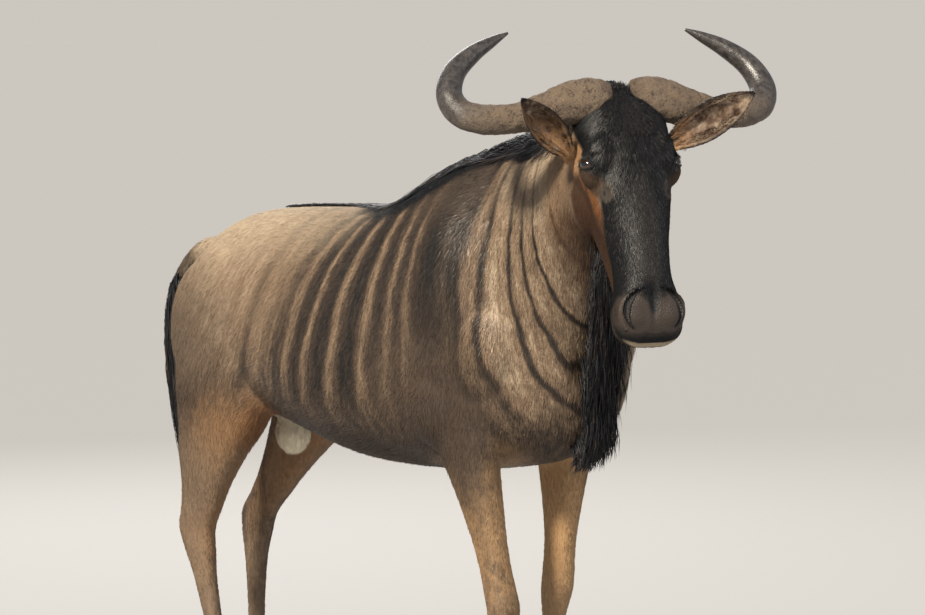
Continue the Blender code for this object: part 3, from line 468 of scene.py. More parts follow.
class Wiring:
    """Builds a node tree from short calls; values may be sockets, numbers or tuples."""

    def __init__(self, tree: bpy.types.NodeTree) -> None:
        """Keep the tree that is wired."""
        self.tree = tree

    def node(self, kind: str, inputs: dict | None = None, **settings: object) -> bpy.types.Node:
        """Add a node.

        Args:
            kind: Its type name.
            inputs: Values or sockets for its inputs, by name or index.
            settings: Its properties.

        Returns:
            The node.
        """
        item = self.tree.nodes.new(kind)
        for key, value in settings.items():
            setattr(item, key, value)
        for key, value in (inputs or {}).items():
            self.feed(item.inputs[key], value)
        return item

    def feed(self, socket: Socket, value: object) -> None:
        """Link or set one input.

        Args:
            socket: The input.
            value: A socket, a number or a tuple.
        """
        if isinstance(value, Socket):
            self.tree.links.new(value, socket)
        elif isinstance(value, (tuple, list)) and len(value) == 3 and len(socket.default_value) == 4:
            socket.default_value = (*value, 1.0)
        else:
            socket.default_value = value

    def maths(self, operation: str, *values: object, clamp: bool = False) -> Socket:
        """One step of arithmetic."""
        inputs = dict(enumerate(values))
        return self.node("ShaderNodeMath", inputs, operation=operation, use_clamp=clamp).outputs[0]

    def vector(self, operation: str, *values: object) -> Socket:
        """One step of vector arithmetic."""
        item = self.node("ShaderNodeVectorMath", dict(enumerate(values)), operation=operation)
        return item.outputs["Value" if operation in ("LENGTH", "DOT_PRODUCT") else "Vector"]

    def times(self, first: object, second: object) -> Socket:
        """Product of two numbers."""
        return self.maths("MULTIPLY", first, second)

    def plus(self, first: object, second: object, clamp: bool = False) -> Socket:
        """Sum of two numbers."""
        return self.maths("ADD", first, second, clamp=clamp)

    def less(self, first: object, second: object) -> Socket:
        """First number less the second."""
        return self.maths("SUBTRACT", first, second)

    def over(self, first: object, second: object) -> Socket:
        """First number divided by the second."""
        return self.maths("DIVIDE", first, second)

    def between(self, share: object, first: object, second: object) -> Socket:
        """Number that goes from the first to the second with a share."""
        return self.node("ShaderNodeMix", {0: share, 2: first, 3: second}).outputs[0]

    def mark(self, name: str) -> Socket:
        """Number that the mesh carries under a name."""
        return self.node("ShaderNodeAttribute", attribute_name=name).outputs["Fac"]

    def place(self) -> Socket:
        """Place of the point that is shaded."""
        return self.node("ShaderNodeTexCoord").outputs["Object"]

    def split(self, place: object) -> tuple[Socket, ...]:
        """The x, y and z of a place."""
        return tuple(self.node("ShaderNodeSeparateXYZ", {0: place}).outputs)

    def combine(self, x: object, y: object, z: object) -> Socket:
        """Place from x, y and z."""
        return self.node("ShaderNodeCombineXYZ", {0: x, 1: y, 2: z}).outputs[0]

    def bump(self, height: object, distance: float, strength: float) -> Socket:
        """Normal of a rough surface from its height."""
        values = {"Height": height, "Distance": distance, "Strength": strength}
        return self.node("ShaderNodeBump", values).outputs["Normal"]

    def shade(self, values: dict[str, object]) -> None:
        """Feed inputs of the surface's shader by their names."""
        for name, value in values.items():
            self.feed(self.tree.nodes["Principled BSDF"].inputs[name], value)

    def curve(self, value: object, table: Sequence[Row]) -> Socket:
        """Number read off a table.

        Args:
            value: Where it is read.
            table: Places and their numbers from 0 to 1.

        Returns:
            The number.
        """
        low, high = table[0][0], table[-1][0]
        share = self.over(self.less(value, low), high - low)
        colour = self.ramp(share, [((at - low) / (high - low), (n,) * 3) for at, n in table])
        return self.node("ShaderNodeSeparateColor", {0: colour}).outputs[0]

    def step(self, value: object, low: float, high: float) -> Socket:
        """Smooth step from 0 at low to 1 at high; low may be the larger.

        Args:
            value: The number.
            low: Where the result is 0.
            high: Where the result is 1.

        Returns:
            The result.
        """
        flip = low > high
        item = self.node("ShaderNodeMapRange", {"Value": value, "From Min": min(low, high),
                                                "From Max": max(low, high), "To Min": 1.0 if flip else 0.0,
                                                "To Max": 0.0 if flip else 1.0},
                         interpolation_type="SMOOTHSTEP")
        return item.outputs["Result"]

    def mix(self, share: object, first: object, second: object, blend: str = "MIX") -> Socket:
        """Mix two colours.

        Args:
            share: How much of the second.
            first: One colour.
            second: The other colour.
            blend: Way of mixing.

        Returns:
            The mixed colour.
        """
        item = self.node("ShaderNodeMix", data_type="RGBA", blend_type=blend)
        for index, value in ((0, share), (6, first), (7, second)):
            self.feed(item.inputs[index], value)
        return item.outputs[2]

    def grain(self, place: object, scale: float, detail: float = 2.0, rough: float = 0.5) -> Socket:
        """Noise between 0 and 1."""
        return self.node("ShaderNodeTexNoise", {"Vector": place, "Scale": scale, "Detail": detail,
                                                "Roughness": rough}).outputs["Fac"]

    def ramp(self, value: object, stops: Sequence[tuple[float, Colour]]) -> Socket:
        """Colour ramp.

        Args:
            value: Position on the ramp.
            stops: Position and colour of each stop.

        Returns:
            The colour.
        """
        item = self.node("ShaderNodeValToRGB", {"Fac": value})
        ramp = item.color_ramp
        while len(ramp.elements) < len(stops):
            ramp.elements.new(1.0)
        for element, (position, colour) in zip(ramp.elements, stops):
            element.position = position
            element.color = (*colour, 1.0)
        return item.outputs["Color"]

    def near(self, place: object, centre: Row, radii: Row, soft: float = 0.6) -> Socket:
        """Soft ellipsoidal mask: 1 inside, 0 outside.

        Args:
            place: Where it is read.
            centre: Its middle.
            radii: Its half sizes.
            soft: Share of the radius over which it fades.

        Returns:
            The mask.
        """
        offset = self.vector("SUBTRACT", place, tuple(centre))
        scaled = self.vector("MULTIPLY", offset, tuple(1.0 / r for r in radii))
        return self.step(self.vector("LENGTH", scaled), 1.0 + soft / 2, 1.0 - soft / 2)


def surface(name: str) -> tuple[Material, Wiring]:
    """New material, ready to be wired.

    Args:
        name: Its name.

    Returns:
        The material and its wiring.
    """
    material = bpy.data.materials.new(name)
    material.use_nodes = True
    return material, Wiring(material.node_tree)


@dataclass
class Ear:
    """One cupped ear in the head's frame."""

    side: Side
    root: Triple
    tip: Triple
    facing: Triple
    half_width: float = 0.034
    wall: float = 0.0052

    def axes(self) -> tuple[Vector, Vector, Vector]:
        """Axis to the tip, the way the cup opens, and across.

        Returns:
            Three unit vectors.
        """
        axis = (on_head(*self.tip) - on_head(*self.root)).normalized()
        front = along_head(*self.facing)
        front = (front - axis * front.dot(axis)).normalized()
        return axis, front, axis.cross(front)

    def length(self) -> float:
        """Length from root to tip."""
        return (on_head(*self.tip) - on_head(*self.root)).length

    def build(self) -> Shape:
        """Loft the cup with its wall.

        Returns:
            The closed ear.
        """
        axis, front, across = self.axes()
        base, length, rings, count = on_head(*self.root), self.length(), [], 22
        for share, fullness in densify(EAR_OUTLINE, 4):
            half = self.half_width * fullness
            cup = 1.0 - math.exp(-max(share, 0.0) * 7.0)
            depth = half * (0.95 - 0.45 * share)
            centre = base + axis * length * share
            wall = self.wall * (1.0 - 0.5 * share)
            ring = []
            for k in range(count):
                angle = math.pi * k / (count - 1)
                curl = 1.0 + 0.05 * math.cos(2 * angle)
                ring.append(centre + across * math.cos(angle) * half * curl
                            - front * (math.sin(angle) * depth - depth * 0.35))
            inner = max(half - wall, half * 0.55)
            for k in range(1, count - 1):
                angle = math.pi * (1 - k / (count - 1))
                hollow = math.sin(angle) * (depth - wall) - depth * 0.35
                filled = -depth * 0.35 + 0.15 * depth
                fold = 0.0022 * cup * math.sin(angle * 7.0) * math.sin(angle) * (1.0 - share)
                ring.append(centre + across * math.cos(angle) * inner
                            - front * (filled + (hollow - filled) * cup - fold))
            rings.append(ring)
        return loft("ear", rings)

    def place(self, points: Array) -> tuple[Array, Array, Array]:
        """Shares along the ear and across it, and how far points lie before its base plane.

        Args:
            points: N x 3 places.

        Returns:
            Share along, signed share across, and distance before the axis.
        """
        axis, front, across = (np.array(v) for v in self.axes())
        offset = points - np.array(on_head(*self.root))
        along = offset @ axis / self.length()
        outline = np.array(EAR_OUTLINE)
        half = self.half_width * np.interp(along, outline[:, 0], outline[:, 1])
        return along, offset @ across / half, offset @ front

    def holds(self, points: Array, start: float, reach: float = 1.3) -> Array:
        """Tell which points lie on the ear.

        Args:
            points: N x 3 places.
            start: Share of its length where it starts.
            reach: Share of its half width that still counts.

        Returns:
            N truths.
        """
        along, across, before = self.place(points)
        near = (along > start) & (along < 1.1) & (np.abs(before) < 0.05)
        return near & (np.abs(across) < reach)


EARS = (
    Ear(Side.RIGHT, (0.109, -0.066, -0.104), (0.037, 0.045, -0.217), (0.695, 0.7, 0.171), 0.03),
    Ear(Side.LEFT, (0.102, -0.052, 0.086), (0.032, 0.034, 0.246), (0.3, 0.95, -0.05)),
)


def head_distance(points: Array) -> Array:
    """Distance before the slanted plane behind the poll and the jaw.

    Args:
        points: N x 3 places.

    Returns:
        Signed distances, positive on the head.
    """
    top, bottom = on_head(-0.04, -0.055, 0), on_head(0.2, -0.205, 0)
    forward = (bottom - top).normalized().cross(AXIS_W)
    forward = forward if forward.dot(AXIS_V) > 0 else -forward
    return (points - np.array(top)) @ np.array(forward)


@dataclass
class Skin:
    """The animal's hide in one closed piece, without its long hair."""

    voxel: float = 0.0037
    head_passes: int = 7
    body_passes: int = 60
    body_faces: int = 96000
    head_depth: float = 0.0012
    body_depth: float = 0.004
    eye_radius: float = 0.0205
    lid_half: tuple[float, float] = (0.018, 0.008)
    lid_slant: float = 25.0
    limbs: tuple = (("fore", -1, 0.27, 0.06), ("fore", 1, -0.08, -0.04), ("hind", -1, 0.0, 0.0),
                    ("hind", 1, -0.29, -0.24))
    # Swellings and hollows of the face: u, v, w of the middle, radii, and height.
    relief: tuple = (
        ((0.11, -0.06, 0.09), (0.03, 0.03, 0.022), -0.004),
        ((0.186, -0.018, 0.07), (0.018, 0.02, 0.02), -0.003),
        ((0.12, 0.002, 0.058), (0.022, 0.018, 0.026), 0.002),
        ((0.098, -0.01, 0.074), (0.008, 0.02, 0.03), -0.0022),
        ((0.136, -0.004, 0.07), (0.006, 0.018, 0.03), -0.0024),
        ((0.209, -0.004, 0.06), (0.028, 0.024, 0.018), 0.006),
        ((0.21, -0.003, 0.062), (0.013, 0.012, 0.006), -0.0085),
        ((0.25, -0.055, 0.066), (0.08, 0.014, 0.02), 0.003),
        ((0.418, 0.004, 0.0), (0.026, 0.03, 0.014), -0.0085),
        ((0.448, -0.006, 0.0), (0.03, 0.03, 0.007), -0.005),
        ((0.446, -0.002, 0.03), (0.022, 0.02, 0.022), -0.0045),
        ((0.492, -0.086, 0.0), (0.02, 0.02, 0.03), 0.0015),
        ((0.33, -0.075, 0.058), (0.06, 0.02, 0.02), -0.003),
    )

    def limb(self, kind: str, side: int, upper: float, lower: float) -> Shape:
        """One leg from inside the body to the coronet.

        Args:
            kind: Fore or hind.
            side: Sign of its y.
            upper: Forward carry for each metre of drop above its joint.
            lower: The same below its joint.

        Returns:
            The leg.
        """
        table, top, joint = (FORE_LEG, 0.85, 0.5) if kind == "fore" else (HIND_LEG, 1.0, 0.55)
        rings = []
        for z, x, y, length, width in densify(table, 4):
            drop = min(max(top - max(z, 0.056), 0.0), top - joint)
            x += upper * drop + lower * max(joint - max(z, 0.056), 0.0)
            rings.append(section(on_body(x + length, side * y, z), on_body(x - length, side * y, z),
                                 Vector((0, 1, 0)), width, 0.0, 28))
        return loft("limb", rings)

    def forms(self) -> list[Shape]:
        """All overlapping masses of flesh.

        Returns:
            The masses.
        """
        parts = [loft("trunk", [section(on_body(x, 0, top), on_body(x, 0, low), Vector((0, 1, 0)),
                                        width, egg, 48) for x, top, low, width, egg in densify(TRUNK, 5)])]
        rings = []
        for row in densify(NECK, 6):
            turn = math.radians(row[7])
            rings.append(section(on_body(*row[0:3]), on_body(*row[3:6]),
                                 Vector((-math.sin(turn), math.cos(turn), 0)), row[6], 0.12, 48))
        parts.append(loft("neck_mass", rings))
        parts.append(loft("skull", [section(on_head(u, face, 0), on_head(u, jaw, 0), AXIS_W, width,
                                            egg, 56, 2.3 + 0.5 * max(0.0, (u - 0.36) / 0.1))
                                    for u, face, jaw, width, egg in densify(HEAD, 5)]))
        parts.append(sweep("dock", [(*on_body(x, y, z), r, r) for x, y, z, r in densify(TAIL_DOCK, 4)],
                           Vector((0, 1, 0)), 24))
        parts += [self.limb(*limb) for limb in self.limbs]
        for side in (-1, 1):
            for (x, y, z), radii, pitch, yaw in MUSCLES:
                turn = Matrix.Rotation(math.radians(side * yaw), 3, "Z")
                turn = turn @ Matrix.Rotation(math.radians(pitch), 3, "Y")
                parts.append(ball("muscle", on_body(x, side * y, z), radii, turn))
        for centre, radii in MIDLINE:
            parts.append(ball("midline", on_body(*centre), radii))
        axes = Matrix((AXIS_U, AXIS_V, AXIS_W)).transposed()
        for (u, v, w), radii in FACE_MASSES:
            for side in (-1, 1) if w else (0,):
                parts.append(ball("face_mass", on_head(u, v, side * w), radii, axes))
        return parts

    def fused(self) -> Shape:
        """Join the masses, soften where they meet and thin the body's faces.

        Returns:
            The closed flesh.
        """
        whole = join("skin", self.forms())
        remesh = whole.modifiers.new("Fuse", "REMESH")
        remesh.mode, remesh.voxel_size = "VOXEL", self.voxel
        apply_all(whole)
        group = whole.vertex_groups.new(name="body")
        behind = np.nonzero(head_distance(coords(whole)) < -0.01)[0]
        group.add(behind.tolist(), 1.0, "REPLACE")
        soft = whole.modifiers.new("Soften", "SMOOTH")
        soft.factor, soft.iterations = 0.5, self.head_passes
        more = whole.modifiers.new("SoftenBody", "SMOOTH")
        more.factor, more.iterations, more.vertex_group = 0.5, self.body_passes, "body"
        apply_all(whole)
        count = sum(len(face.vertices) - 2 for face in whole.data.polygons)
        head_count = 2 * (len(whole.data.vertices) - len(behind))
        thin = whole.modifiers.new("Thin", "DECIMATE")
        thin.ratio = (self.body_faces + head_count) / count
        thin.vertex_group = "body"
        thin.use_collapse_triangulate = True
        apply_all(whole)
        LOG.info("flesh: %d faces, %d of them on the head", len(whole.data.polygons), head_count)
        return whole

    def shape_face(self, whole: Shape) -> None:
        """Sink the skin by the coat's depth and raise the swellings and hollows of the face.

        Args:
            whole: The flesh.
        """
        places, outward = coords(whole), normals(whole)
        local = head_local(places)
        local[:, 2] = np.abs(local[:, 2])
        ahead = head_distance(places)
        shift = -np.where(ahead > 0, self.head_depth, self.body_depth)
        for centre, radii, height in self.relief:
            reach = (((local - centre) / radii) ** 2).sum(1)
            shift = shift + np.where(ahead > 0, height * np.exp(-reach), 0.0)
        put_coords(whole, places + outward * shift[:, None])

    def on_surface(self, tree: BVHTree, starts: Sequence[Vector], aims: Sequence[Vector],
                   radii: Sequence[float], sink: float) -> list[tuple]:
        """Rows of a tube that follows the skin where rays from outside meet it.

        Args:
            tree: The skin's search tree.
            starts: Where the rays start.
            aims: Where they point.
            radii: Radius of the tube at each.
            sink: Share of the radius that it lies under the skin.

        Returns:
            Rows of x, y, z and two radii.
        """
        rows = []
        for start, aim, radius in zip(starts, aims, radii):
            hit, normal, _, _ = tree.ray_cast(start, (aim - start).normalized())
            if hit is not None:
                rows.append((*(hit - normal * radius * sink), radius, radius))
        return rows

    def nostril(self, tree: BVHTree, side: int, offset: float, radius: float, sink: float) -> Shape:
        """Tube along one nostril's comma.

        Args:
            tree: The skin's search tree.
            side: Sign of its w.
            offset: Degrees that it lies further out than the slit.
            radius: Added to the slit's radius.
            sink: Share of the radius under the skin.

        Returns:
            The tube.
        """
        starts, aims, radii = [], [], []
        for u, turn, slit in densify(NOSTRIL, 4):
            angle = math.radians(turn + offset)
            aim = on_head(u, -0.052, 0)
            starts.append(aim + (AXIS_V * math.cos(angle) + AXIS_W * side * math.sin(angle)) * 0.15)
            aims.append(aim)
            radii.append(slit + radius if offset == 0 else radius)
        return sweep("nostril", self.on_surface(tree, starts, aims, radii, sink), AXIS_V, 10)

    def mouth(self, tree: BVHTree) -> Shape:
        """Groove of the lips, from one corner round the muzzle to the other.

        Args:
            tree: The skin's search tree.

        Returns:
            The tube that cuts it.
        """
        aim, starts, radii = on_head(0.425, -0.072, 0), [], []
        for i in range(49):
            angle = math.radians(-105 + 210 * i / 48)
            way = AXIS_U * math.cos(angle) + AXIS_W * math.sin(angle)
            starts.append(aim + (way - AXIS_V * 0.1 * abs(math.sin(angle))) * 0.2)
            radii.append(0.0022 * (0.6 + 0.4 * math.cos(angle)))
        return sweep("mouth", self.on_surface(tree, starts, [aim] * 49, radii, 0.2), AXIS_V, 8)

    def eye_axes(self, side: int) -> tuple[Vector, Vector, Vector, Vector]:
        """Centre of an eye, the way it looks, and the long and high axes of its opening.

        Args:
            side: Sign of its w.

        Returns:
            The centre and three unit vectors.
        """
        centre = on_head(EYE_MIDDLE[0], EYE_MIDDLE[1], side * EYE_MIDDLE[2])
        out = along_head(EYE_FACING[0], EYE_FACING[1], side * EYE_FACING[2])
        down = (AXIS_U - out * AXIS_U.dot(out)).normalized()
        inward = out.cross(down)
        inward = -inward if inward.dot(AXIS_W) * side > 0 else inward
        slant = math.radians(self.lid_slant)
        long_axis = inward * math.cos(slant) + down * math.sin(slant)
        high_axis = out.cross(long_axis)
        high_axis = -high_axis if high_axis.dot(AXIS_U) > 0 else high_axis
        return centre, out, long_axis, high_axis

    def lid_outline(self, side: int, grow: float, depth: float, count: int) -> list[Vector]:
        """Almond outline of the lids.

        Args:
            side: Sign of the eye's w.
            grow: Scale of the outline.
            depth: Distance before the eye's middle.
            count: Number of points.

        Returns:
            The points, from the inner corner round.
        """
        centre, out, long_axis, high_axis = self.eye_axes(side)
        ring = []
        for k in range(count):
            angle = 2 * math.pi * k / count
            reach = self.lid_half[0] * math.cos(angle)
            rise = self.lid_half[1] * math.sin(angle) * abs(math.sin(angle)) ** 0.35
            ring.append(centre + out * depth + (long_axis * reach + high_axis * rise) * grow)
        return ring

    def lid_rim(self, tree: BVHTree, side: int) -> Shape:
        """Rounded rim round the opening, thicker above.

        Args:
            tree: The skin's search tree before the opening is cut.
            side: Sign of the eye's w.

        Returns:
            The closed hoop.
        """
        count, across = 36, 10
        _, out, _, high_axis = self.eye_axes(side)
        outline = self.lid_outline(side, 1.1, 0.06, count)
        spots = [tree.ray_cast(p, -out)[0] or p - out * 0.035 for p in outline]
        middle = sum(spots, Vector()) / count
        points, faces = [], []
        for k, spot in enumerate(spots):
            tangent = (spots[(k + 1) % count] - spots[k - 1]).normalized()
            side_way = tangent.cross(out).normalized()
            upper = max((spot - middle).normalized().dot(high_axis), 0.0)
            radius = 0.0021 + 0.0012 * upper
            for i in range(across):
                angle = 2 * math.pi * i / across
                points.append(spot + side_way * math.cos(angle) * radius
                              + out * (math.sin(angle) * radius + 0.0004))
        for k in range(count):
            for i in range(across):
                a, b = k * across, (k + 1) % count * across
                j = (i + 1) % across
                faces.append((a + i, a + j, b + j, b + i))
        return mesh_piece("lid", points, faces)

    def build(self) -> Shape:
        """Model the whole skin.

        Returns:
            The closed skin with its map and its ear marks.
        """
        whole = self.fused()
        self.shape_face(whole)
        tree = BVHTree.FromObject(whole, bpy.context.evaluated_depsgraph_get())
        adds, cuts, openings = [ear.build() for ear in EARS], [self.mouth(tree)], []
        for side in (-1, 1):
            adds += [self.nostril(tree, side, 13, 0.0044, 0.4), self.lid_rim(tree, side)]
            cuts.append(self.nostril(tree, side, 0, 0.0, 0.15))
            centre, _, _, _ = self.eye_axes(side)
            cuts.append(ball("socket", centre, (self.eye_radius + 0.0004,) * 3))
            openings.append(loft("opening", [self.lid_outline(side, grow, depth, 36) for grow, depth
                                             in ((0.9, 0.004), (1.0, 0.019), (1.35, 0.034))]))
        # Points of the tubes that cut the mouth and the nostrils, which mark where painted shade goes.
        groove_tubes = [coords(cut) for cut in (cuts[0], *cuts[1::2])]
        boolean(whole, join("adds", adds), "UNION")
        boolean(whole, join("cuts", cuts), "DIFFERENCE")
        boolean(whole, join("openings", openings), "DIFFERENCE")
        self.keep_hide(whole)
        pick(whole)
        bpy.ops.object.shade_smooth_by_angle(angle=math.radians(50))
        self.mark_ears(whole)
        self.mark_groove_shade_and_lid_rims(whole, np.concatenate(groove_tubes))
        self.unwrap(whole)
        return whole

    def mark_groove_shade_and_lid_rims(self, whole: Shape, tubes: Array) -> None:
        """Mark painted shade on the walls of the nostrils and the mouth, and the dark rims of the lids.

        Args:
            whole: The skin.
            tubes: Points of the tubes that cut the grooves.
        """
        places, crease = coords(whole), np.zeros(len(whole.data.vertices))
        kd = KDTree(len(tubes))
        for i, point in enumerate(tubes):
            kd.insert(point, i)
        kd.balance()
        local = head_local(places)
        # Painted shade on the walls of the nostril slits and the mouth's groove.
        for i in np.nonzero(local[:, 0] > 0.38)[0]:
            gap = kd.find(places[i])[2] if head_distance(places[i:i + 1])[0] > 0 else 1.0
            crease[i] = 1.0 if gap < 0.0014 else 0.0
        # The lids' own dark rims round each eye opening.
        for side in (-1, 1):
            centre, out, _, _ = self.eye_axes(side)
            offset = places - np.array(centre)
            reach = np.linalg.norm(offset, axis=1)
            rim = np.clip((0.03 - reach) / 0.005, 0, 1) * (offset @ np.array(out) > 0)
            crease = np.maximum(crease, rim)
        set_attribute(whole.data, "crease", crease)

    def keep_hide(self, whole: Shape) -> None:
        """Keep the largest closed surface and merge doubles.

        Args:
            whole: The skin.
        """
        bm = bmesh.new()
        bm.from_mesh(whole.data)
        bmesh.ops.remove_doubles(bm, verts=bm.verts, dist=1e-6)
        bmesh.ops.triangulate(bm, faces=bm.faces)
        bm.verts.ensure_lookup_table()
        unseen, best = set(range(len(bm.verts))), set()
        while unseen:
            stack = [unseen.pop()]
            shell = set(stack)
            while stack:
                for edge in bm.verts[stack.pop()].link_edges:
                    for vertex in edge.verts:
                        if vertex.index not in shell:
                            shell.add(vertex.index)
                            stack.append(vertex.index)
            unseen -= shell
            best = shell if len(shell) > len(best) else best
        loose = [vertex for vertex in bm.verts if vertex.index not in best]
        bmesh.ops.delete(bm, geom=loose, context="VERTS")
        open_edges = sum(1 for edge in bm.edges if len(edge.link_faces) != 2)
        bm.to_mesh(whole.data)
        bm.free()
        LOG.info("skin: %d faces, %d open edges", len(whole.data.polygons), open_edges)

    def mark_ears(self, whole: Shape) -> None:
        """Mark the inside, the rim and the tip of the ears on the skin.

        Args:
            whole: The skin.
        """
        places, outward = coords(whole), normals(whole)
        cup, rim = np.zeros(len(places)), np.zeros(len(places))
        for ear in EARS:
            along, across, before = ear.place(places)
            on_ear = ear.holds(places, 0.1, 1.25)
            facing = outward @ np.array(ear.axes()[1])
            inside = np.clip(facing * 4.0, 0, 1) * np.clip((along - 0.06) / 0.1, 0, 1)
            cup = np.where(on_ear, np.maximum(cup, inside), cup)
            edge = np.clip((np.abs(across) - 0.84) / 0.12, 0, 1) * np.clip(before / 0.006, 0, 1)
            edge = np.maximum(edge, np.clip((along - 0.9) / 0.08, 0, 1))
            rim = np.where(on_ear, np.maximum(rim, edge), rim)
        set_attribute(whole.data, "cup", cup)
        set_attribute(whole.data, "rim", rim)

    def unwrap(self, whole: Shape) -> None:
        """Lay the skin out flat, for the roots of the coat and for baking.

        Args:
            whole: The skin.
        """
        whole.data.uv_layers.new(name="OFBake")
        pick(whole)
        bpy.ops.object.mode_set(mode="EDIT")
        bpy.ops.mesh.select_all(action="SELECT")
        bpy.ops.uv.smart_project(angle_limit=math.radians(66), island_margin=0.001)
        bpy.ops.object.mode_set(mode="OBJECT")


@dataclass
class Horn:
    """One horn: a broad rough boss that turns into a smooth slim tip."""

    side: Side
    around: int = 48
    steps: int = 12

    def build(self) -> Shape:
        """Sweep the horn and roughen its boss.

        Returns:
            The horn.
        """
        rows = [(*on_head(u, v, self.side.value * w), across, deep)
                for u, v, w, across, deep in densify(HORN_PATH, self.steps)]
        horn = sweep("horn_sheath_" + self.side.name.lower(), rows, AXIS_V, self.around)
        places, outward = coords(horn), normals(horn)
        count = self.around
        share = np.repeat(np.arange(len(rows)) / (len(rows) - 1), count)
        share = np.append(share, [0.0, 1.0])
        rough = np.clip(1.0 - (share - 0.4) / 0.28, 0, 1)
        lift = np.empty(len(places))
        for i, place in enumerate(places):
            spot = Vector(place)
            bark = noise.fractal(spot * 55.0, 0.9, 2.1, 4)
            ridge = noise.noise(spot * 22.0)
            lift[i] = 0.0024 * bark + 0.0012 * ridge
        put_coords(horn, places + outward * (lift * rough - 0.0004)[:, None])
        set_attribute(horn.data, "share", share)
        pick(horn)
        bpy.ops.object.shade_smooth()
        return horn


@dataclass
class Eye:
    """One eyeball with a bulging cornea."""

    side: Side
    radius: float = 0.0203

    def build(self) -> Shape:
        """Model the eyeball.

        Returns:
            The eyeball.
        """
        skin = Skin()
        centre, out, _, _ = skin.eye_axes(self.side.value)
        turn = out.to_track_quat("Z", "Y").to_matrix()
        eye = ball("eyeball_" + self.side.name.lower(), centre, (self.radius,) * 3, turn, 48, 32)
        places = coords(eye)
        offset = places - np.array(centre)
        facing = offset @ np.array(out) / self.radius
        bulge = np.clip((facing - 0.78) / 0.22, 0, 1) ** 1.5 * 0.0008
        put_coords(eye, places + unit(offset) * bulge[:, None])
        pick(eye)
        bpy.ops.object.shade_smooth()
        return eye


# How the hair of the body and of the head lies: place, direction, then length, width and lift.
BODY_LIE = (
    ((0.7, 0.09, 1.4), (-0.35, 0.0, -0.9), 0.018, 0.003, 0.22),
    ((0.62, 0.12, 1.32), (-0.2, 0.0, -1.0), 0.02, 0.0032, 0.22),
    ((0.64, 0.05, 1.18), (-0.05, 0.0, -1.0), 0.022, 0.0032, 0.25),
    ((0.5, 0.14, 1.24), (-0.1, 0.0, -1.0), 0.02, 0.0034, 0.22),
    ((0.45, 0.15, 1.02), (-0.1, 0.0, -1.0), 0.02, 0.0034, 0.22),
    ((0.5, 0.08, 1.42), (-0.6, 0.1, -0.7), 0.02, 0.003, 0.2),
    ((0.35, 0.12, 1.38), (-0.6, 0.1, -0.75), 0.018, 0.003, 0.18),
    ((0.2, 0.2, 1.28), (-0.6, 0.0, -0.8), 0.017, 0.0032, 0.16),
    ((0.2, 0.24, 1.08), (-0.4, 0.0, -0.92), 0.017, 0.0032, 0.16),
    ((0.22, 0.22, 0.88), (-0.55, 0.0, -0.8), 0.018, 0.0032, 0.2),
    ((0.0, 0.2, 1.24), (-0.8, 0.1, -0.55), 0.017, 0.0032, 0.15),
    ((-0.05, 0.25, 1.02), (-0.6, 0.0, -0.8), 0.018, 0.0032, 0.17),
    ((0.0, 0.1, 1.29), (-0.95, 0.2, -0.15), 0.018, 0.003, 0.14),
    ((-0.3, 0.1, 1.27), (-0.95, 0.2, -0.15), 0.017, 0.003, 0.14),
    ((-0.35, 0.2, 1.12), (-0.7, 0.0, -0.7), 0.017, 0.0032, 0.16),
    ((-0.6, 0.1, 1.18), (-0.75, 0.2, -0.6), 0.016, 0.003, 0.15),
    ((-0.66, 0.13, 1.02), (-0.2, 0.0, -0.98), 0.017, 0.0032, 0.16),
    ((-0.5, 0.18, 0.92), (-0.3, 0.0, -0.95), 0.018, 0.0032, 0.2),
    ((-0.25, 0.2, 0.86), (-0.85, 0.0, -0.45), 0.022, 0.0032, 0.25),
    ((0.05, 0.12, 0.76), (-0.95, 0.0, -0.1), 0.022, 0.0032, 0.25),
    ((0.55, 0.03, 0.92), (-0.1, 0.0, -1.0), 0.028, 0.0034, 0.3),
    ((0.36, 0.2, 0.9), (-0.1, 0.0, -1.0), 0.017, 0.003, 0.16),
    ((0.33, 0.14, 0.7), (0.0, 0.0, -1.0), 0.013, 0.0026, 0.16),
    ((0.33, 0.12, 0.45), (0.0, 0.0, -1.0), 0.01, 0.0024, 0.14),
    ((0.33, 0.12, 0.15), (0.0, 0.0, -1.0), 0.012, 0.0024, 0.18),
    ((-0.52, 0.17, 0.75), (-0.2, 0.0, -0.98), 0.015, 0.0028, 0.17),
    ((-0.62, 0.13, 0.52), (0.0, 0.0, -1.0), 0.011, 0.0025, 0.15),
    ((-0.55, 0.12, 0.3), (0.1, 0.0, -1.0), 0.01, 0.0024, 0.14),
    ((-0.5, 0.12, 0.14), (0.1, 0.0, -1.0), 0.012, 0.0024, 0.18),
    ((-0.8, 0.0, 0.95), (0.0, 0.0, -1.0), 0.02, 0.003, 0.2),
)
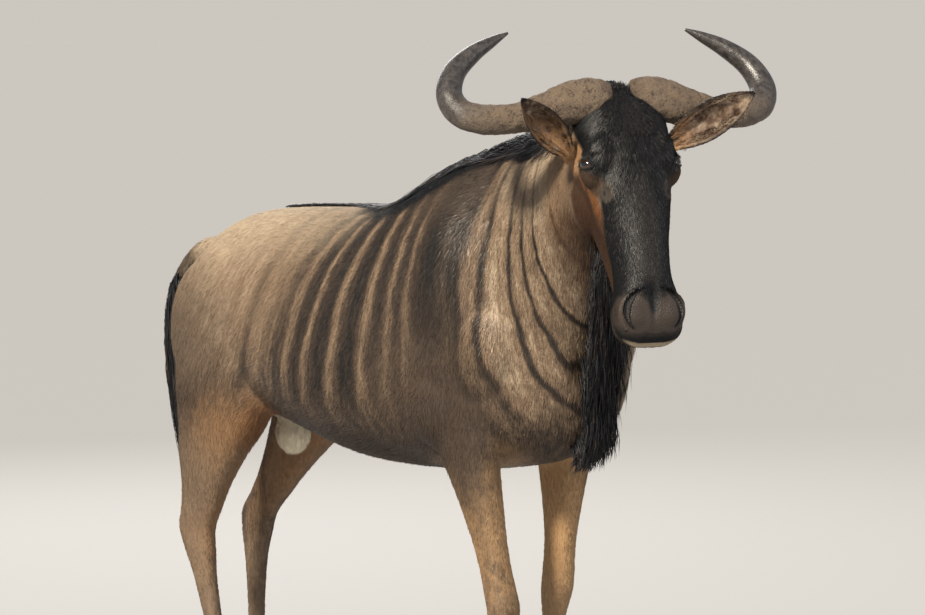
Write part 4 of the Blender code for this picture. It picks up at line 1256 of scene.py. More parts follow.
HEAD_LIE = (
    ((0.0, 0.0, 0.02), (0.8, 0.3, 0.15), 0.0164, 0.0017, 0.36),
    ((0.05, 0.01, 0.0), (1.0, 0.1, 0.0), 0.0148, 0.0016, 0.34),
    ((0.05, 0.005, 0.06), (0.8, 0.0, 0.45), 0.0123, 0.0014, 0.3),
    ((0.105, 0.015, 0.045), (0.85, 0.1, 0.38), 0.0107, 0.0014, 0.28),
    ((0.1, 0.015, 0.0), (1.0, 0.0, 0.05), 0.0148, 0.0014, 0.26),
    ((0.16, 0.018, 0.02), (1.0, 0.0, 0.25), 0.0148, 0.0014, 0.21),
    ((0.23, 0.018, 0.0), (1.0, 0.0, 0.05), 0.0107, 0.0013, 0.18),
    ((0.23, 0.0, 0.06), (1.0, -0.2, 0.2), 0.0098, 0.0013, 0.16),
    ((0.31, 0.01, 0.0), (1.0, 0.0, 0.05), 0.009, 0.0012, 0.16),
    ((0.31, -0.02, 0.055), (1.0, -0.3, 0.1), 0.009, 0.0012, 0.16),
    ((0.385, 0.005, 0.0), (1.0, 0.0, 0.1), 0.0066, 0.0011, 0.16),
    ((0.385, -0.04, 0.055), (0.8, -0.6, 0.1), 0.0066, 0.0011, 0.14),
    ((0.185, -0.03, 0.078), (0.9, -0.3, 0.2), 0.0074, 0.0012, 0.13),
    ((0.14, -0.06, 0.09), (0.3, -0.9, 0.1), 0.0082, 0.0013, 0.13),
    ((0.11, -0.03, 0.09), (0.2, -0.8, 0.4), 0.0098, 0.0014, 0.16),
    ((0.19, -0.12, 0.085), (0.5, -0.8, 0.0), 0.0139, 0.0019, 0.16),
    ((0.28, -0.11, 0.06), (0.7, -0.7, 0.0), 0.0123, 0.0017, 0.16),
    ((0.2, -0.19, 0.03), (0.6, -0.6, 0.0), 0.018, 0.0022, 0.22),
    ((0.33, -0.14, 0.02), (0.9, -0.3, 0.0), 0.0131, 0.0017, 0.2),
    ((0.48, -0.095, 0.02), (0.9, -0.3, 0.2), 0.0029, 0.0009, 0.12),
    ((0.49, -0.05, 0.0), (0.9, -0.6, 0.0), 0.0029, 0.0009, 0.12),
    ((0.47, -0.06, 0.055), (0.9, -0.4, 0.1), 0.0033, 0.0009, 0.12),
    ((0.44, -0.08, 0.066), (0.8, -0.5, 0.2), 0.0049, 0.0009, 0.14),
)
# Bare places of the head where no tuft grows: u, v, w and radii.
BARE = (
    ((0.448, -0.018, 0.033), (0.036, 0.04, 0.034)), ((0.464, -0.024, 0.0), (0.02, 0.04, 0.03)),
    ((0.148, -0.012, 0.094), (0.012, 0.024, 0.022)), ((0.209, -0.004, 0.062), (0.014, 0.02, 0.009)),
)


@dataclass
class Lie:
    """Direction, length, width and lift of the short hair at any place of the skin."""

    sharpness: float = 2.4
    block: int = 20000
    ear_size: Triple = (0.0055, 0.0014, 0.08)

    def guides(self) -> tuple[Array, Array, Array]:
        """All guides on both sides, in the scene.

        Returns:
            Places, directions, and lengths with widths and lifts.
        """
        guides = []
        for (x, y, z), (a, b, c), *size in BODY_LIE:
            for side in (-1, 1):
                way = Vector((a, b * side, c)).normalized()
                guides.append((on_body(x, y * side, z), way, size))
        for (u, v, w), (a, b, c), *size in HEAD_LIE:
            for side in (-1, 1):
                guides.append((on_head(u, v, w * side), along_head(a, b, c * side), size))
        return tuple(np.array(column) for column in zip(*guides))

    def at(self, points: Array, outward: Array) -> tuple[Array, Array]:
        """Blend the guides at points of the skin.

        Args:
            points: N x 3 places.
            outward: N x 3 normals.

        Returns:
            N x 3 unit directions in the skin, and N x 3 lengths, widths and lifts.
        """
        places, ways, sizes = self.guides()
        flow, size = np.empty_like(points), np.empty((len(points), 3))
        for start in range(0, len(points), self.block):
            part = slice(start, start + self.block)
            gap = ((points[part, None, :] - places[None]) ** 2).sum(2) + 1e-4
            weight = gap ** -self.sharpness
            weight /= weight.sum(1, keepdims=True)
            flow[part] = weight @ ways
            size[part] = weight @ sizes
        for ear in EARS:
            on_ear = ear.holds(points, 0.04)
            flow[on_ear] = np.array(ear.axes()[0])
            size[on_ear] = self.ear_size
        flow = flow - outward * (flow * outward).sum(1, keepdims=True)
        return unit(flow), size


@dataclass
class Roots:
    """Places on the skin where hair grows."""

    places: Array
    outward: Array
    maps: Array
    cup: Array
    rim: Array


class Hide:
    """The skin's triangles, ready to be sampled and searched."""

    def __init__(self, skin: Shape) -> None:
        """Read the skin.

        Args:
            skin: The finished skin.
        """
        mesh = skin.data
        mesh.calc_loop_triangles()
        loops = read(mesh.loop_triangles, "loops", 3, np.int32)
        self.corners = read(mesh.loops, "vertex_index", 1, np.int32)[loops].reshape(-1, 3)
        maps = read(mesh.uv_layers["OFBake"].data, "uv", 2).reshape(-1, 2)
        self.maps = maps[loops].reshape(-1, 3, 2)
        self.places, self.outward = coords(skin), normals(skin)
        self.marks = {name: read(mesh.attributes[name].data, "value") for name in ("cup", "rim")}
        a, b, c = (self.places[self.corners[:, k]] for k in range(3))
        self.area = np.linalg.norm(np.cross(b - a, c - a), axis=1) / 2
        self.middle = (a + b + c) / 3
        self.tree = BVHTree.FromObject(skin, bpy.context.evaluated_depsgraph_get())
        self.kd = KDTree(len(self.middle))
        for i, spot in enumerate(self.middle):
            self.kd.insert(spot, i)
        self.kd.balance()

    def scatter(self, random: Random, density: Array) -> Roots:
        """Roots spread over the triangles.

        Args:
            random: Seeded generator.
            density: Roots for each square metre, for each triangle.

        Returns:
            The roots.
        """
        chance = self.area * density
        total = int(chance.sum())
        steps = np.cumsum(chance) / chance.sum()
        picks = np.searchsorted(steps, (np.arange(total) + random.random(total)) / total)
        return self.roots(random, np.minimum(picks, len(steps) - 1))

    def roots(self, random: Random, picks: Array) -> Roots:
        """A random place in each picked triangle.

        Args:
            random: Seeded generator.
            picks: Triangle indices.

        Returns:
            The roots.
        """
        a, b = random.random(len(picks)), random.random(len(picks))
        flip = a + b > 1
        a, b = np.where(flip, 1 - a, a), np.where(flip, 1 - b, b)
        share = np.stack([1 - a - b, a, b], 1)
        corners = self.corners[picks]

        def blend(values: Array) -> Array:
            """Values of the corners, mixed by their shares."""
            return (values * share.reshape(share.shape + (1,) * (values.ndim - 2))).sum(1)

        return Roots(blend(self.places[corners]), unit(blend(self.outward[corners])),
                     blend(self.maps[picks]), blend(self.marks["cup"][corners]),
                     blend(self.marks["rim"][corners]))

    def nearest(self, random: Random, points: Sequence[Vector]) -> Roots:
        """Roots in the triangles nearest to points."""
        return self.roots(random, np.array([self.kd.find(point)[1] for point in points]))

    def lift(self, path: Array, clearance: Array) -> Array:
        """Move points of hair out where they lie too low over the skin.

        Args:
            path: N x K x 3 points.
            clearance: N x K or K least heights.

        Returns:
            The moved points.
        """
        flat = path.reshape(-1, 3)
        least = np.broadcast_to(clearance, path.shape[:2]).ravel()
        for i, point in enumerate(flat):
            spot, normal, _, _ = self.tree.find_nearest(Vector(point))
            height = (point[0] - spot[0]) * normal[0] + (point[1] - spot[1]) * normal[1]
            height += (point[2] - spot[2]) * normal[2]
            if height < least[i]:
                flat[i] = point + np.array(normal) * (least[i] - height)
        return flat.reshape(path.shape)


def hair_piece(name: str, points: Array, faces: Array, maps: Array, marks: dict[str, Array]) -> Shape:
    """One mesh of many tufts.

    Args:
        name: Its name.
        points: M x 3 vertices.
        faces: F x 3 indices.
        maps: M x 2 places on the unwrap.
        marks: Attributes, one number for each vertex.

    Returns:
        The object.
    """
    mesh = bpy.data.meshes.new(name)
    mesh.vertices.add(len(points))
    mesh.vertices.foreach_set("co", points.astype(np.float32).ravel())
    mesh.loops.add(faces.size)
    mesh.loops.foreach_set("vertex_index", faces.astype(np.int32).ravel())
    mesh.polygons.add(len(faces))
    mesh.polygons.foreach_set("loop_start", np.arange(0, faces.size, 3, dtype=np.int32))
    layer = mesh.uv_layers.new(name="OFBake")
    layer.data.foreach_set("uv", maps[faces.ravel()].astype(np.float32).ravel())
    for label, values in marks.items():
        set_attribute(mesh, label, values)
    mesh.update(calc_edges=True)
    mesh.polygons.foreach_set("use_smooth", np.ones(len(faces), bool))
    shape = bpy.data.objects.new(name, mesh)
    bpy.context.scene.collection.objects.link(shape)
    return shape


# Size of a tuft's patch on the unwrap, and thickness of a lock as a share of its width.
PATCH, THICKNESS = 0.003, 0.35


def tufts(name: str, roots: Roots, ways: Array, sizes: Array,
          random: Random, spread: float = 0.22) -> Shape:
    """Short flat tufts, each a slim closed wedge of four faces.

    Args:
        name: Name of the piece.
        roots: Where they grow.
        ways: Their directions in the skin.
        sizes: Their lengths, widths and lifts.
        random: Seeded generator.
        spread: How much their directions differ.

    Returns:
        The piece.
    """
    count = len(ways)
    across = np.cross(ways, roots.outward)
    ways = unit(ways + across * random.normal(0, spread, (count, 1)))
    across = unit(np.cross(ways, roots.outward))
    length = sizes[:, 0] * random.uniform(0.75, 1.35, count)
    half = sizes[:, 1] * random.uniform(0.2, 0.4, count)
    lift = np.abs(0.55 * sizes[:, 2] + random.normal(0, 0.035, count))
    low = roots.places - roots.outward * 0.0007
    tip = roots.places + ways * (length * np.cos(lift))[:, None]
    tip += roots.outward * (length * np.sin(lift))[:, None]
    top = roots.places + roots.outward * 0.0003 + ways * (length * 0.25)[:, None]
    top += roots.outward * (length * 0.25 * np.sin(lift) + 0.0002)[:, None]
    points = np.stack([low + across * half[:, None], low - across * half[:, None], top, tip], 1)
    start = np.arange(count)[:, None, None] * 4
    faces = (np.array([[0, 2, 1], [0, 3, 2], [2, 3, 1], [1, 3, 0]])[None] + start).reshape(-1, 3)
    patch = np.array([[-0.5, 0], [0.5, 0], [0, 0.4], [0, 1]]) * PATCH
    maps = (roots.maps[:, None] + patch[None]).reshape(-1, 2)
    marks = {"tone": np.repeat(random.random(count), 4), "tip": np.tile([0, 0, 0.5, 1.0], count),
             "cup": np.repeat(roots.cup, 4), "rim": np.repeat(roots.rim, 4)}
    piece = hair_piece(name, points.reshape(-1, 3), faces, maps, marks)
    shading = unit(roots.outward + across * random.normal(0, 0.16, (count, 1))
                   + ways * random.normal(0.05, 0.12, (count, 1)))
    shading = np.repeat(shading, 4, axis=0)
    shading[0::4] += 0.3 * across
    shading[1::4] -= 0.3 * across
    piece.data.normals_split_custom_set_from_vertices(unit(shading).tolist())
    return piece


def strands(name: str, paths: Array, facing: Array, width: float, maps: Array,
            random: Random, cup: float = 0.0) -> Shape:
    """Long curved locks with a three-sided section that taper to a point.

    Args:
        name: Name of the piece.
        paths: N x K x 3 points from root to tip.
        facing: N x 3 directions that their broad faces look along.
        width: Width of the broader ones.
        maps: N x 2 places of the roots on the unwrap.
        random: Seeded generator.
        cup: Mark of the inside of the ear.

    Returns:
        The piece.
    """
    count, rows = paths.shape[:2]
    widths = width * random.uniform(0.5, 1.1, count)
    tangent = unit(np.gradient(paths, axis=1))
    across = unit(np.cross(tangent, facing[:, None, :]))
    deep = np.cross(across, tangent)
    share = np.arange(rows - 1) / (rows - 1)
    taper = (0.55 + 0.9 * share) * (1 - share ** 2.2) + 0.12 * (1 - share)
    half = (widths[:, None] * taper[None] / 2)[..., None]
    body = paths[:, :-1]
    ring = np.stack([body + across[:, :-1] * half, body - across[:, :-1] * half,
                     body + deep[:, :-1] * half * THICKNESS * 2], 2)
    points = np.concatenate([ring.reshape(count, -1, 3), paths[:, -1:]], 1)
    faces = [[0, 1, 2]]
    for k in range(rows - 2):
        for i in range(3):
            j = (i + 1) % 3
            a, b, c, d = 3 * k + i, 3 * k + j, 3 * k + 3 + j, 3 * k + 3 + i
            faces += [[a, d, c], [a, c, b]]
    last = 3 * (rows - 2)
    faces += [[last + i, 3 * (rows - 1), last + (i + 1) % 3] for i in range(3)]
    each = 3 * (rows - 1) + 1
    table = (np.array(faces)[None] + np.arange(count)[:, None, None] * each).reshape(-1, 3)
    patch = [[x, k / rows] for k in range(rows - 1) for x in (-0.5, 0.5, 0.0)] + [[0.0, 1.0]]
    spread = (maps[:, None] + np.array(patch)[None] * PATCH).reshape(-1, 2)
    tip = np.append(np.repeat(share, 3), 1.0)
    marks = {"tone": np.repeat(random.random(count), each), "tip": np.tile(tip, count),
             "cup": np.full(count * each, cup), "rim": np.zeros(count * each)}
    return hair_piece(name, points.reshape(-1, 3), table, spread, marks)


@dataclass
class ShortCoat:
    """Short tufts over the body, the legs, the ears and the face."""

    densities: dict[str, float] = field(default_factory=lambda: {
        "coat_rump": 50000.0, "coat_barrel": 56000.0, "coat_shoulder": 66000.0, "coat_neck": 98000.0,
        "coat_legs": 52000.0, "coat_brow": 380000.0, "coat_face": 288000.0, "coat_ears": 190000.0})
    seed: int = 11

    def build(self, hide: Hide) -> list[Shape]:
        """Grow the coat in pieces.

        Args:
            hide: The skin.

        Returns:
            The pieces.
        """
        random, lie, pieces = np.random.default_rng(self.seed), Lie(), []
        local = head_local(hide.middle)
        local[:, 2] = np.abs(local[:, 2])
        body = head_distance(hide.middle) < 0
        on_ear = np.any([ear.holds(hide.middle, 0.06) for ear in EARS], axis=0)
        bare = np.any([(((local - centre) / radii) ** 2).sum(1) < 1.0 for centre, radii in BARE], axis=0)
        x, height = hide.middle[:, 0] - SHIFT.x, hide.middle[:, 2]
        zones = {
            "coat_rump": body & (x < -0.28) & (height > 0.72),
            "coat_barrel": body & (x >= -0.28) & (x < 0.1) & (height > 0.6),
            "coat_shoulder": body & (x >= 0.1) & (x < 0.42) & (height > 0.72),
            "coat_neck": body & (x >= 0.42) & (height > 0.72),
        }
        zones["coat_legs"] = body & ~np.any(list(zones.values()), axis=0)
        haired = ~body & ~bare & ~on_ear
        zones["coat_brow"] = haired & (local[:, 0] < 0.17)
        zones["coat_face"] = haired & (local[:, 0] >= 0.17)
        zones["coat_ears"] = on_ear
        for name, zone in zones.items():
            roots = hide.scatter(random, np.where(zone, self.densities[name], 0.0))
            ways, sizes = lie.at(roots.places, roots.outward)
            pieces.append(tufts(name, roots, ways, sizes, random))
        return pieces


# Mane along the crest: x, y, length, rise over the crest, share that falls to the side, half spread.
MANE = (
    (-0.42, 0.0, 0.036, 0.002, 0.04, 0.005), (-0.17, 0.0, 0.07, 0.003, 0.06, 0.008),
    (-0.01, -0.016, 0.105, 0.006, 0.12, 0.032), (0.12, -0.042, 0.14, 0.008, 0.2, 0.052),
    (0.26, -0.036, 0.16, 0.021, 0.24, 0.05), (0.4, -0.018, 0.172, 0.042, 0.21, 0.044),
    (0.54, -0.038, 0.175, 0.046, 0.26, 0.038), (0.66, -0.082, 0.15, 0.044, 0.36, 0.04),
    (0.735, -0.108, 0.105, 0.03, 0.42, 0.032),
)
# Beard down the throat: x, y, z, lock length, half spread.
BEARD = (
    (0.715, -0.085, 1.262, 0.085, 0.03), (0.692, -0.07, 1.222, 0.125, 0.032),
    (0.666, -0.048, 1.16, 0.16, 0.032), (0.64, -0.025, 1.08, 0.165, 0.03), (0.6, -0.008, 0.99, 0.14, 0.028),
    (0.56, 0.0, 0.91, 0.095, 0.024), (0.5, 0.0, 0.84, 0.05, 0.018),
)


def bend(root: Array, steps: Sequence[Array]) -> Array:
    """Path of N hairs from their roots and their offsets at each step."""
    return np.stack([root] + [root + step for step in steps], 1)


@dataclass
class Mane:
    """Long hair along the crest that leans back and falls to the sides."""

    count: int = 7000
    width: float = 0.0034
    seed: int = 21

    def build(self, hide: Hide) -> Shape:
        """Grow the mane.

        Args:
            hide: The skin.

        Returns:
            The mane.
        """
        random = np.random.default_rng(self.seed)
        position = random.random(self.count) ** 0.9 * (len(MANE) - 1)
        rows = np.array([spline(MANE, p) for p in position])
        ahead = np.array([spline(MANE, max(p - 0.3, 0.0)) for p in position])
        spread = random.uniform(-1, 1, self.count)
        back = unit(np.stack([ahead[:, 0] - rows[:, 0] - 0.02, ahead[:, 1] - rows[:, 1],
                              np.zeros(self.count)], 1))
        left = np.stack([back[:, 1], -back[:, 0], np.zeros(self.count)], 1)
        start = rows[:, :2] + np.array(SHIFT)[:2] + left[:, :2] * (spread * rows[:, 5])[:, None]
        down = Vector((0, 0, -1))
        spots = [hide.tree.ray_cast(Vector((*place, 2.0)), down)[0] or Vector((*place, 1.2))
                 for place in start]
        roots = hide.nearest(random, spots)
        root = np.array(spots) - [0, 0, 0.004]
        length = rows[:, 2] * random.uniform(0.65, 1.15, self.count)
        rise = rows[:, 3] * random.uniform(0.5, 1.0, self.count) * (1 - 0.45 * spread ** 2)
        fall = rows[:, 4] * random.uniform(0.6, 1.15, self.count)
        side = np.where(spread + random.normal(0, 0.35, self.count) - 0.1 > 0, 1.0, -1.0)
        drop = unit(np.stack([back[:, 0], back[:, 1], -0.3 * np.ones(self.count)], 1))
        steps = []
        for share, high in ((0.1, 0.65), (0.28, 1.0), (0.5, 0.95), (0.75, 0.75), (1.0, 0.4)):
            step = drop * (length * share * (1.05 - 0.75 * fall))[:, None]
            step[:, 2] += rise * high
            step += left * (side * (0.002 + 0.42 * length * fall * share))[:, None]
            step[:, 2] -= 0.85 * length * fall * share ** 1.8
            steps.append(step)
        path = hide.lift(bend(root, steps), np.array([-0.004, 0.004, 0.006, 0.006, 0.005, 0.003]))
        path[:, 0] = root
        path[:, 1:] += random.normal(0, 0.0008, (self.count, 5, 3))
        up = np.array([0, 0, 1.0]) * random.uniform(0.2, 1.4, (self.count, 1))
        facing = unit(left * side[:, None] + up)
        return strands("mane", path, facing, self.width, roots.maps, random)


@dataclass
class Beard:
    """Curtain of long hair that hangs from the throat and the breast."""

    count: int = 3600
    width: float = 0.0046
    seed: int = 22

    def build(self, hide: Hide) -> Shape:
        """Grow the beard.

        Args:
            hide: The skin.

        Returns:
            The beard.
        """
        random = np.random.default_rng(self.seed)
        share = random.random(self.count) ** 1.15
        rows = np.array([spline(BEARD, s * (len(BEARD) - 1)) for s in share])
        across = unit(np.array([Vector((0, 1, 0)).lerp(AXIS_W, 1 - s) for s in share]))
        across[:, 2] = 0
        across = unit(across)
        ahead = np.stack([across[:, 1], -across[:, 0], np.zeros(self.count)], 1)
        spread = random.uniform(-1, 1, self.count)
        middle = rows[:, :3] + np.array(SHIFT) + across * (spread * rows[:, 4])[:, None]
        roots = hide.nearest(random, [Vector(p) for p in middle])
        root = roots.places - roots.outward * 0.003
        length = rows[:, 3] * random.uniform(0.6, 1.15, self.count)
        lean = random.normal(0, 0.07, self.count)
        sway = random.normal(0, 0.06, self.count)
        steps = []
        for part, stand in ((0.08, 0.01), (0.28, 0.02), (0.52, 0.027), (0.78, 0.028), (1.0, 0.02)):
            step = ahead * (stand + (lean * length * part))[:, None]
            step += across * (spread * 0.012 * part + sway * length * part)[:, None]
            step[:, 2] -= length * part
            steps.append(step)
        path = bend(root, steps)
        path[:, 1:] += random.normal(0, 0.0015, (self.count, 5, 3))
        outer = across * np.where(spread > 0, 1, -1)[:, None]
        facing = unit(outer + ahead * random.uniform(-0.6, 1.0, (self.count, 1)))
        return strands("beard", path, facing, self.width, roots.maps, random)


@dataclass
class Tail:
    """Long hair round the dock."""

    count: int = 2200
    width: float = 0.0046
    seed: int = 23

    def build(self, hide: Hide) -> Shape:
        """Grow the tail's hair.

        Args:
            hide: The skin.

        Returns:
            The hair.
        """
        random = np.random.default_rng(self.seed)
        share = random.random(self.count)
        rows = np.array([spline(TAIL_DOCK, 1.9 + 4.1 * s) for s in share])
        turn = random.uniform(0, 2 * math.pi, self.count)
        out = np.stack([np.cos(turn), np.sin(turn), np.zeros(self.count)], 1)
        core = rows[:, :3] + np.array(SHIFT)
        roots = hide.nearest(random, [Vector(p) for p in core + out * rows[:, 3:4]])
        root = core + out * (rows[:, 3:4] - 0.004)
        length = (0.13 + 0.2 * share) * random.uniform(0.7, 1.15, self.count)
        steps = []
        for part, stand in ((0.06, 0.006), (0.25, 0.012), (0.5, 0.014), (0.78, 0.011), (1.0, 0.002)):
            step = out * stand + np.array([0.03, 0.02, -1.0]) * (length * part)[:, None]
            steps.append(step)
        path = bend(root, steps)
        path[:, 1:] += random.normal(0, 0.0015, (self.count, 5, 3))
        return strands("tail_hair", path, out, self.width, roots.maps, random)


@dataclass
class FaceHair:
    """Rough forelock, tuft of the poll, throat hair and the hair inside the ears."""

    seed: int = 24

    def grown(self, hide: Hide, name: str, starts: list[Vector], ways: Array,
              length: Array, stand: float, curl: float, width: float,
              random: Random, cup: float = 0.0) -> Shape:
        """Strands from the skin near starts, along their ways and close over the skin.

        Args:
            hide: The skin.
            name: Name of the piece.
            starts: Places near the skin.
            ways: N x 3 directions.
            length: N lengths.
            stand: How far they stand off the skin, as a share of their length.
            curl: How much the tips drop.
            width: Width of a strand.
            random: Seeded generator.
            cup: Mark of the inside of the ear.

        Returns:
            The piece.
        """
        roots = hide.nearest(random, starts)
        root = roots.places - roots.outward * 0.002
        outward = roots.outward
        flow = unit(ways - outward * (ways * outward).sum(1, keepdims=True) * (1 - stand))
        steps = []
        for part, rise in ((0.12, 0.45), (0.36, 0.9), (0.68, 1.0), (1.0, 0.8)):
            step = flow * (length * part)[:, None]
            step += outward * (length * stand * rise * 0.5)[:, None]
            step[:, 2] -= length * curl * part ** 2
            steps.append(step)
        path = hide.lift(bend(root, steps), np.array([-0.004, 0.002, 0.004, 0.004, 0.003]))
        path[:, 0] = root
        path[:, 1:] += random.normal(0, 0.0008, path[:, 1:].shape)
        return strands(name, path, outward, width, roots.maps, random, cup)

    def build(self, hide: Hide) -> list[Shape]:
        """Grow all of it.

        Args:
            hide: The skin.

        Returns:
            The pieces.
        """
        random = np.random.default_rng(self.seed)
        pieces = []
        count = 2000
        u, w = random.uniform(-0.01, 0.095, count), random.normal(0, 0.027, count)
        starts = [on_head(a, 0.02 - 0.04 * max(0.02 - a, 0) / 0.03, b * (0.6 + 4 * max(a, 0)))
                  for a, b in zip(u, w)]
        ways = np.array([along_head(1.0, 0.1, b * 16 + r) for b, r in zip(w, random.normal(0, 0.5, count))])
        length = random.uniform(0.007, 0.019, count)
        pieces.append(self.grown(hide, "forelock", starts, ways, length, 0.16, 0.1, 0.0014, random))
        count = 420
        starts = [on_head(-0.004 + a, -0.03 + b, c) for a, b, c in
                  zip(random.normal(0, 0.007, count), random.normal(0, 0.012, count),
                      random.normal(0, 0.008, count))]
        ways = np.array([along_head(-0.8, 0.5 + r, s) for r, s in
                         zip(random.normal(0, 0.4, count), random.normal(0, 0.4, count))])
        pieces.append(self.grown(hide, "poll_tuft", starts, ways, random.uniform(0.008, 0.017, count),
                                 0.6, 0.1, 0.0018, random))
        count = 900
        u, w = random.uniform(0.2, 0.4, count), random.normal(0, 0.018, count)
        starts = [on_head(a, -0.2 + 0.9 * max(a - 0.22, 0) * 0.5, b) for a, b in zip(u, w)]
        ways = np.tile(np.array([0.05, -0.05, -1.0]), (count, 1)) + random.normal(0, 0.1, (count, 3))
        length = np.interp(u, [0.2, 0.28, 0.4], [0.07, 0.06, 0.025]) * random.uniform(0.7, 1.15, count)
        pieces.append(self.grown(hide, "throat_hair", starts, ways, length, 0.8, 0.3, 0.0036, random))
        for ear in EARS:
            axis, front, across = (np.array(v) for v in ear.axes())
            base, count = np.array(on_head(*ear.root)), 420
            along, edge = random.uniform(0.06, 0.75, count), random.choice([-1, 1], count)
            outline = np.array(EAR_OUTLINE)
            half = ear.half_width * np.interp(along, outline[:, 0], outline[:, 1])
            side = edge * random.uniform(0.35, 0.9, count)
            spots = base + axis * (along * ear.length())[:, None] + across * (side * half)[:, None]
            ways = axis * 0.8 - across * (side * 0.6)[:, None] + front * 0.5
            ways = ways + random.normal(0, 0.12, (count, 3))
            length = random.uniform(0.008, 0.019, count)
            pieces.append(self.grown(hide, "ear_hair_" + ear.side.name.lower(),
                                     [Vector(p) for p in spots], ways, length, 0.25, 0.0, 0.0012,
                                     random, 1.0))
        return pieces


BEIGE = (0.425, 0.34, 0.245)
FAWN = (0.205, 0.142, 0.094)
UMBER = (0.052, 0.037, 0.028)
SOOT = (0.016, 0.0145, 0.014)
BLACK = (0.0045, 0.0048, 0.006)
TAN = (0.31, 0.172, 0.082)
ORANGE = (0.165, 0.064, 0.021)
BROWN = (0.085, 0.048, 0.029)
PEAT = (0.045, 0.022, 0.012)
ASH = (0.13, 0.118, 0.108)
CREAM = (0.52, 0.42, 0.29)
# Pale cream of the scrotum, made brighter with painted light against the belly's shade.
PALE_WITH_PAINTED_LIGHT = (0.82, 0.72, 0.54)
PAD = (0.036, 0.027, 0.022)
# Rusty tan of the forelegs, made brighter with painted sunlight.
FOREARM_TAN_WITH_PAINTED_LIGHT = (0.42, 0.255, 0.125)
GLAND = (0.05, 0.038, 0.03)
HAZEL = (0.05, 0.029, 0.019)
LINING = (0.235, 0.172, 0.122)

# Stripes along the body: place on the stripe field, and darkness from 0 to 1.
FLANK_STRIPES = (
    (-0.6, 0.18), (-0.37, 0.2), (-0.345, 0.36), (-0.315, 0.26), (-0.285, 0.36), (-0.258, 0.66),
    (-0.235, 0.42), (-0.205, 0.36), (-0.175, 0.5), (-0.15, 0.48), (-0.118, 0.7), (-0.1, 0.58),
    (-0.086, 0.37), (-0.07, 0.5), (-0.045, 0.86), (-0.028, 0.75), (-0.012, 0.36), (0.008, 0.64),
    (0.035, 0.9), (0.056, 0.86), (0.07, 0.45), (0.084, 0.36), (0.1, 0.64), (0.12, 0.9), (0.145, 0.92),
    (0.157, 0.5), (0.168, 0.34), (0.182, 0.62), (0.2, 0.9), (0.213, 0.64),
)
NECK_STRIPES = (
    (0.213, 0.64), (0.226, 0.36), (0.248, 0.85), (0.27, 0.4), (0.285, 0.6), (0.31, 0.92), (0.328, 1.0),
    (0.345, 0.92), (0.362, 0.66), (0.385, 0.9), (0.394, 0.55), (0.405, 0.38), (0.42, 0.42), (0.43, 0.8),
    (0.437, 0.4), (0.447, 0.24), (0.468, 0.27), (0.474, 0.35), (0.479, 0.95), (0.484, 0.38), (0.493, 0.3),
    (0.504, 0.38), (0.508, 0.92), (0.512, 0.34), (0.524, 0.27), (0.535, 0.36), (0.539, 0.92), (0.543, 0.32),
    (0.56, 0.2), (0.588, 0.3), (0.594, 0.75), (0.601, 0.26),
)
# Tints over the stripes: middle, radii, colour and strength, laid on in this order. Those of the
# body are the same on both sides, those of the back stand as they are, and the rest are the head's.
BODY_TINTS = (
    # Lighter coat over the top of the rump, partly its own grey and partly a painted highlight from above.
    ((-0.45, 0.08, 1.26), (0.38, 0.2, 0.12), BEIGE, 0.5),
    ((-0.55, 0.16, 1.04), (0.24, 0.12, 0.14), FAWN, 0.45),
    ((-0.3, 0.2, 1.13), (0.17, 0.1, 0.12), FAWN, 0.4),
    ((-0.6, 0.15, 0.9), (0.24, 0.16, 0.2), UMBER, 0.7),
    ((-0.15, 0.1, 0.76), (0.55, 0.22, 0.12), UMBER, 0.8),
    ((0.3, 0.22, 0.92), (0.16, 0.14, 0.12), FAWN, 0.25),
    ((0.27, 0.2, 0.98), (0.15, 0.1, 0.16), UMBER, 0.45),
    ((0.28, 0.12, 1.33), (0.11, 0.14, 0.07), UMBER, 0.7),
    ((0.33, 0.2, 0.78), (0.15, 0.08, 0.2), UMBER, 0.75),
    # Forearms: their own rusty tan, brightened with painted sunlight.
    ((0.33, 0.09, 0.58), (0.14, 0.075, 0.28), FOREARM_TAN_WITH_PAINTED_LIGHT, 0.9),
    ((-0.42, 0.15, 0.76), (0.14, 0.08, 0.13), TAN, 0.6),
    ((-0.56, 0.16, 0.62), (0.16, 0.08, 0.18), FAWN, 0.6),
    ((-0.35, 0.12, 0.76), (0.06, 0.08, 0.12), ORANGE, 0.65),
    ((-0.54, 0.09, 0.62), (0.18, 0.06, 0.22), TAN, 0.7),
    # Scrotum: its own pale cream, raised with painted light where the belly shades it.
    ((-0.436, 0.0, 0.755), (0.065, 0.055, 0.062), PALE_WITH_PAINTED_LIGHT, 1.0),
    ((-0.1, 0.0, 0.36), (0.9, 0.3, 0.16), FAWN, 0.6),
    ((0.0, 0.0, 0.1), (0.95, 0.4, 0.14), UMBER, 0.7),
    ((-0.8, 0.0, 0.92), (0.075, 0.12, 0.27), BLACK, 1.0),
    ((0.62, 0.0, 1.16), (0.075, 0.055, 0.16), SOOT, 0.75),
    ((0.65, 0.13, 1.36), (0.07, 0.06, 0.1), TAN, 0.6),
    ((0.69, 0.1, 1.26), (0.1, 0.1, 0.17), BROWN, 0.92),
    ((0.52, 0.12, 1.37), (0.1, 0.07, 0.09), BEIGE, 0.3),
)
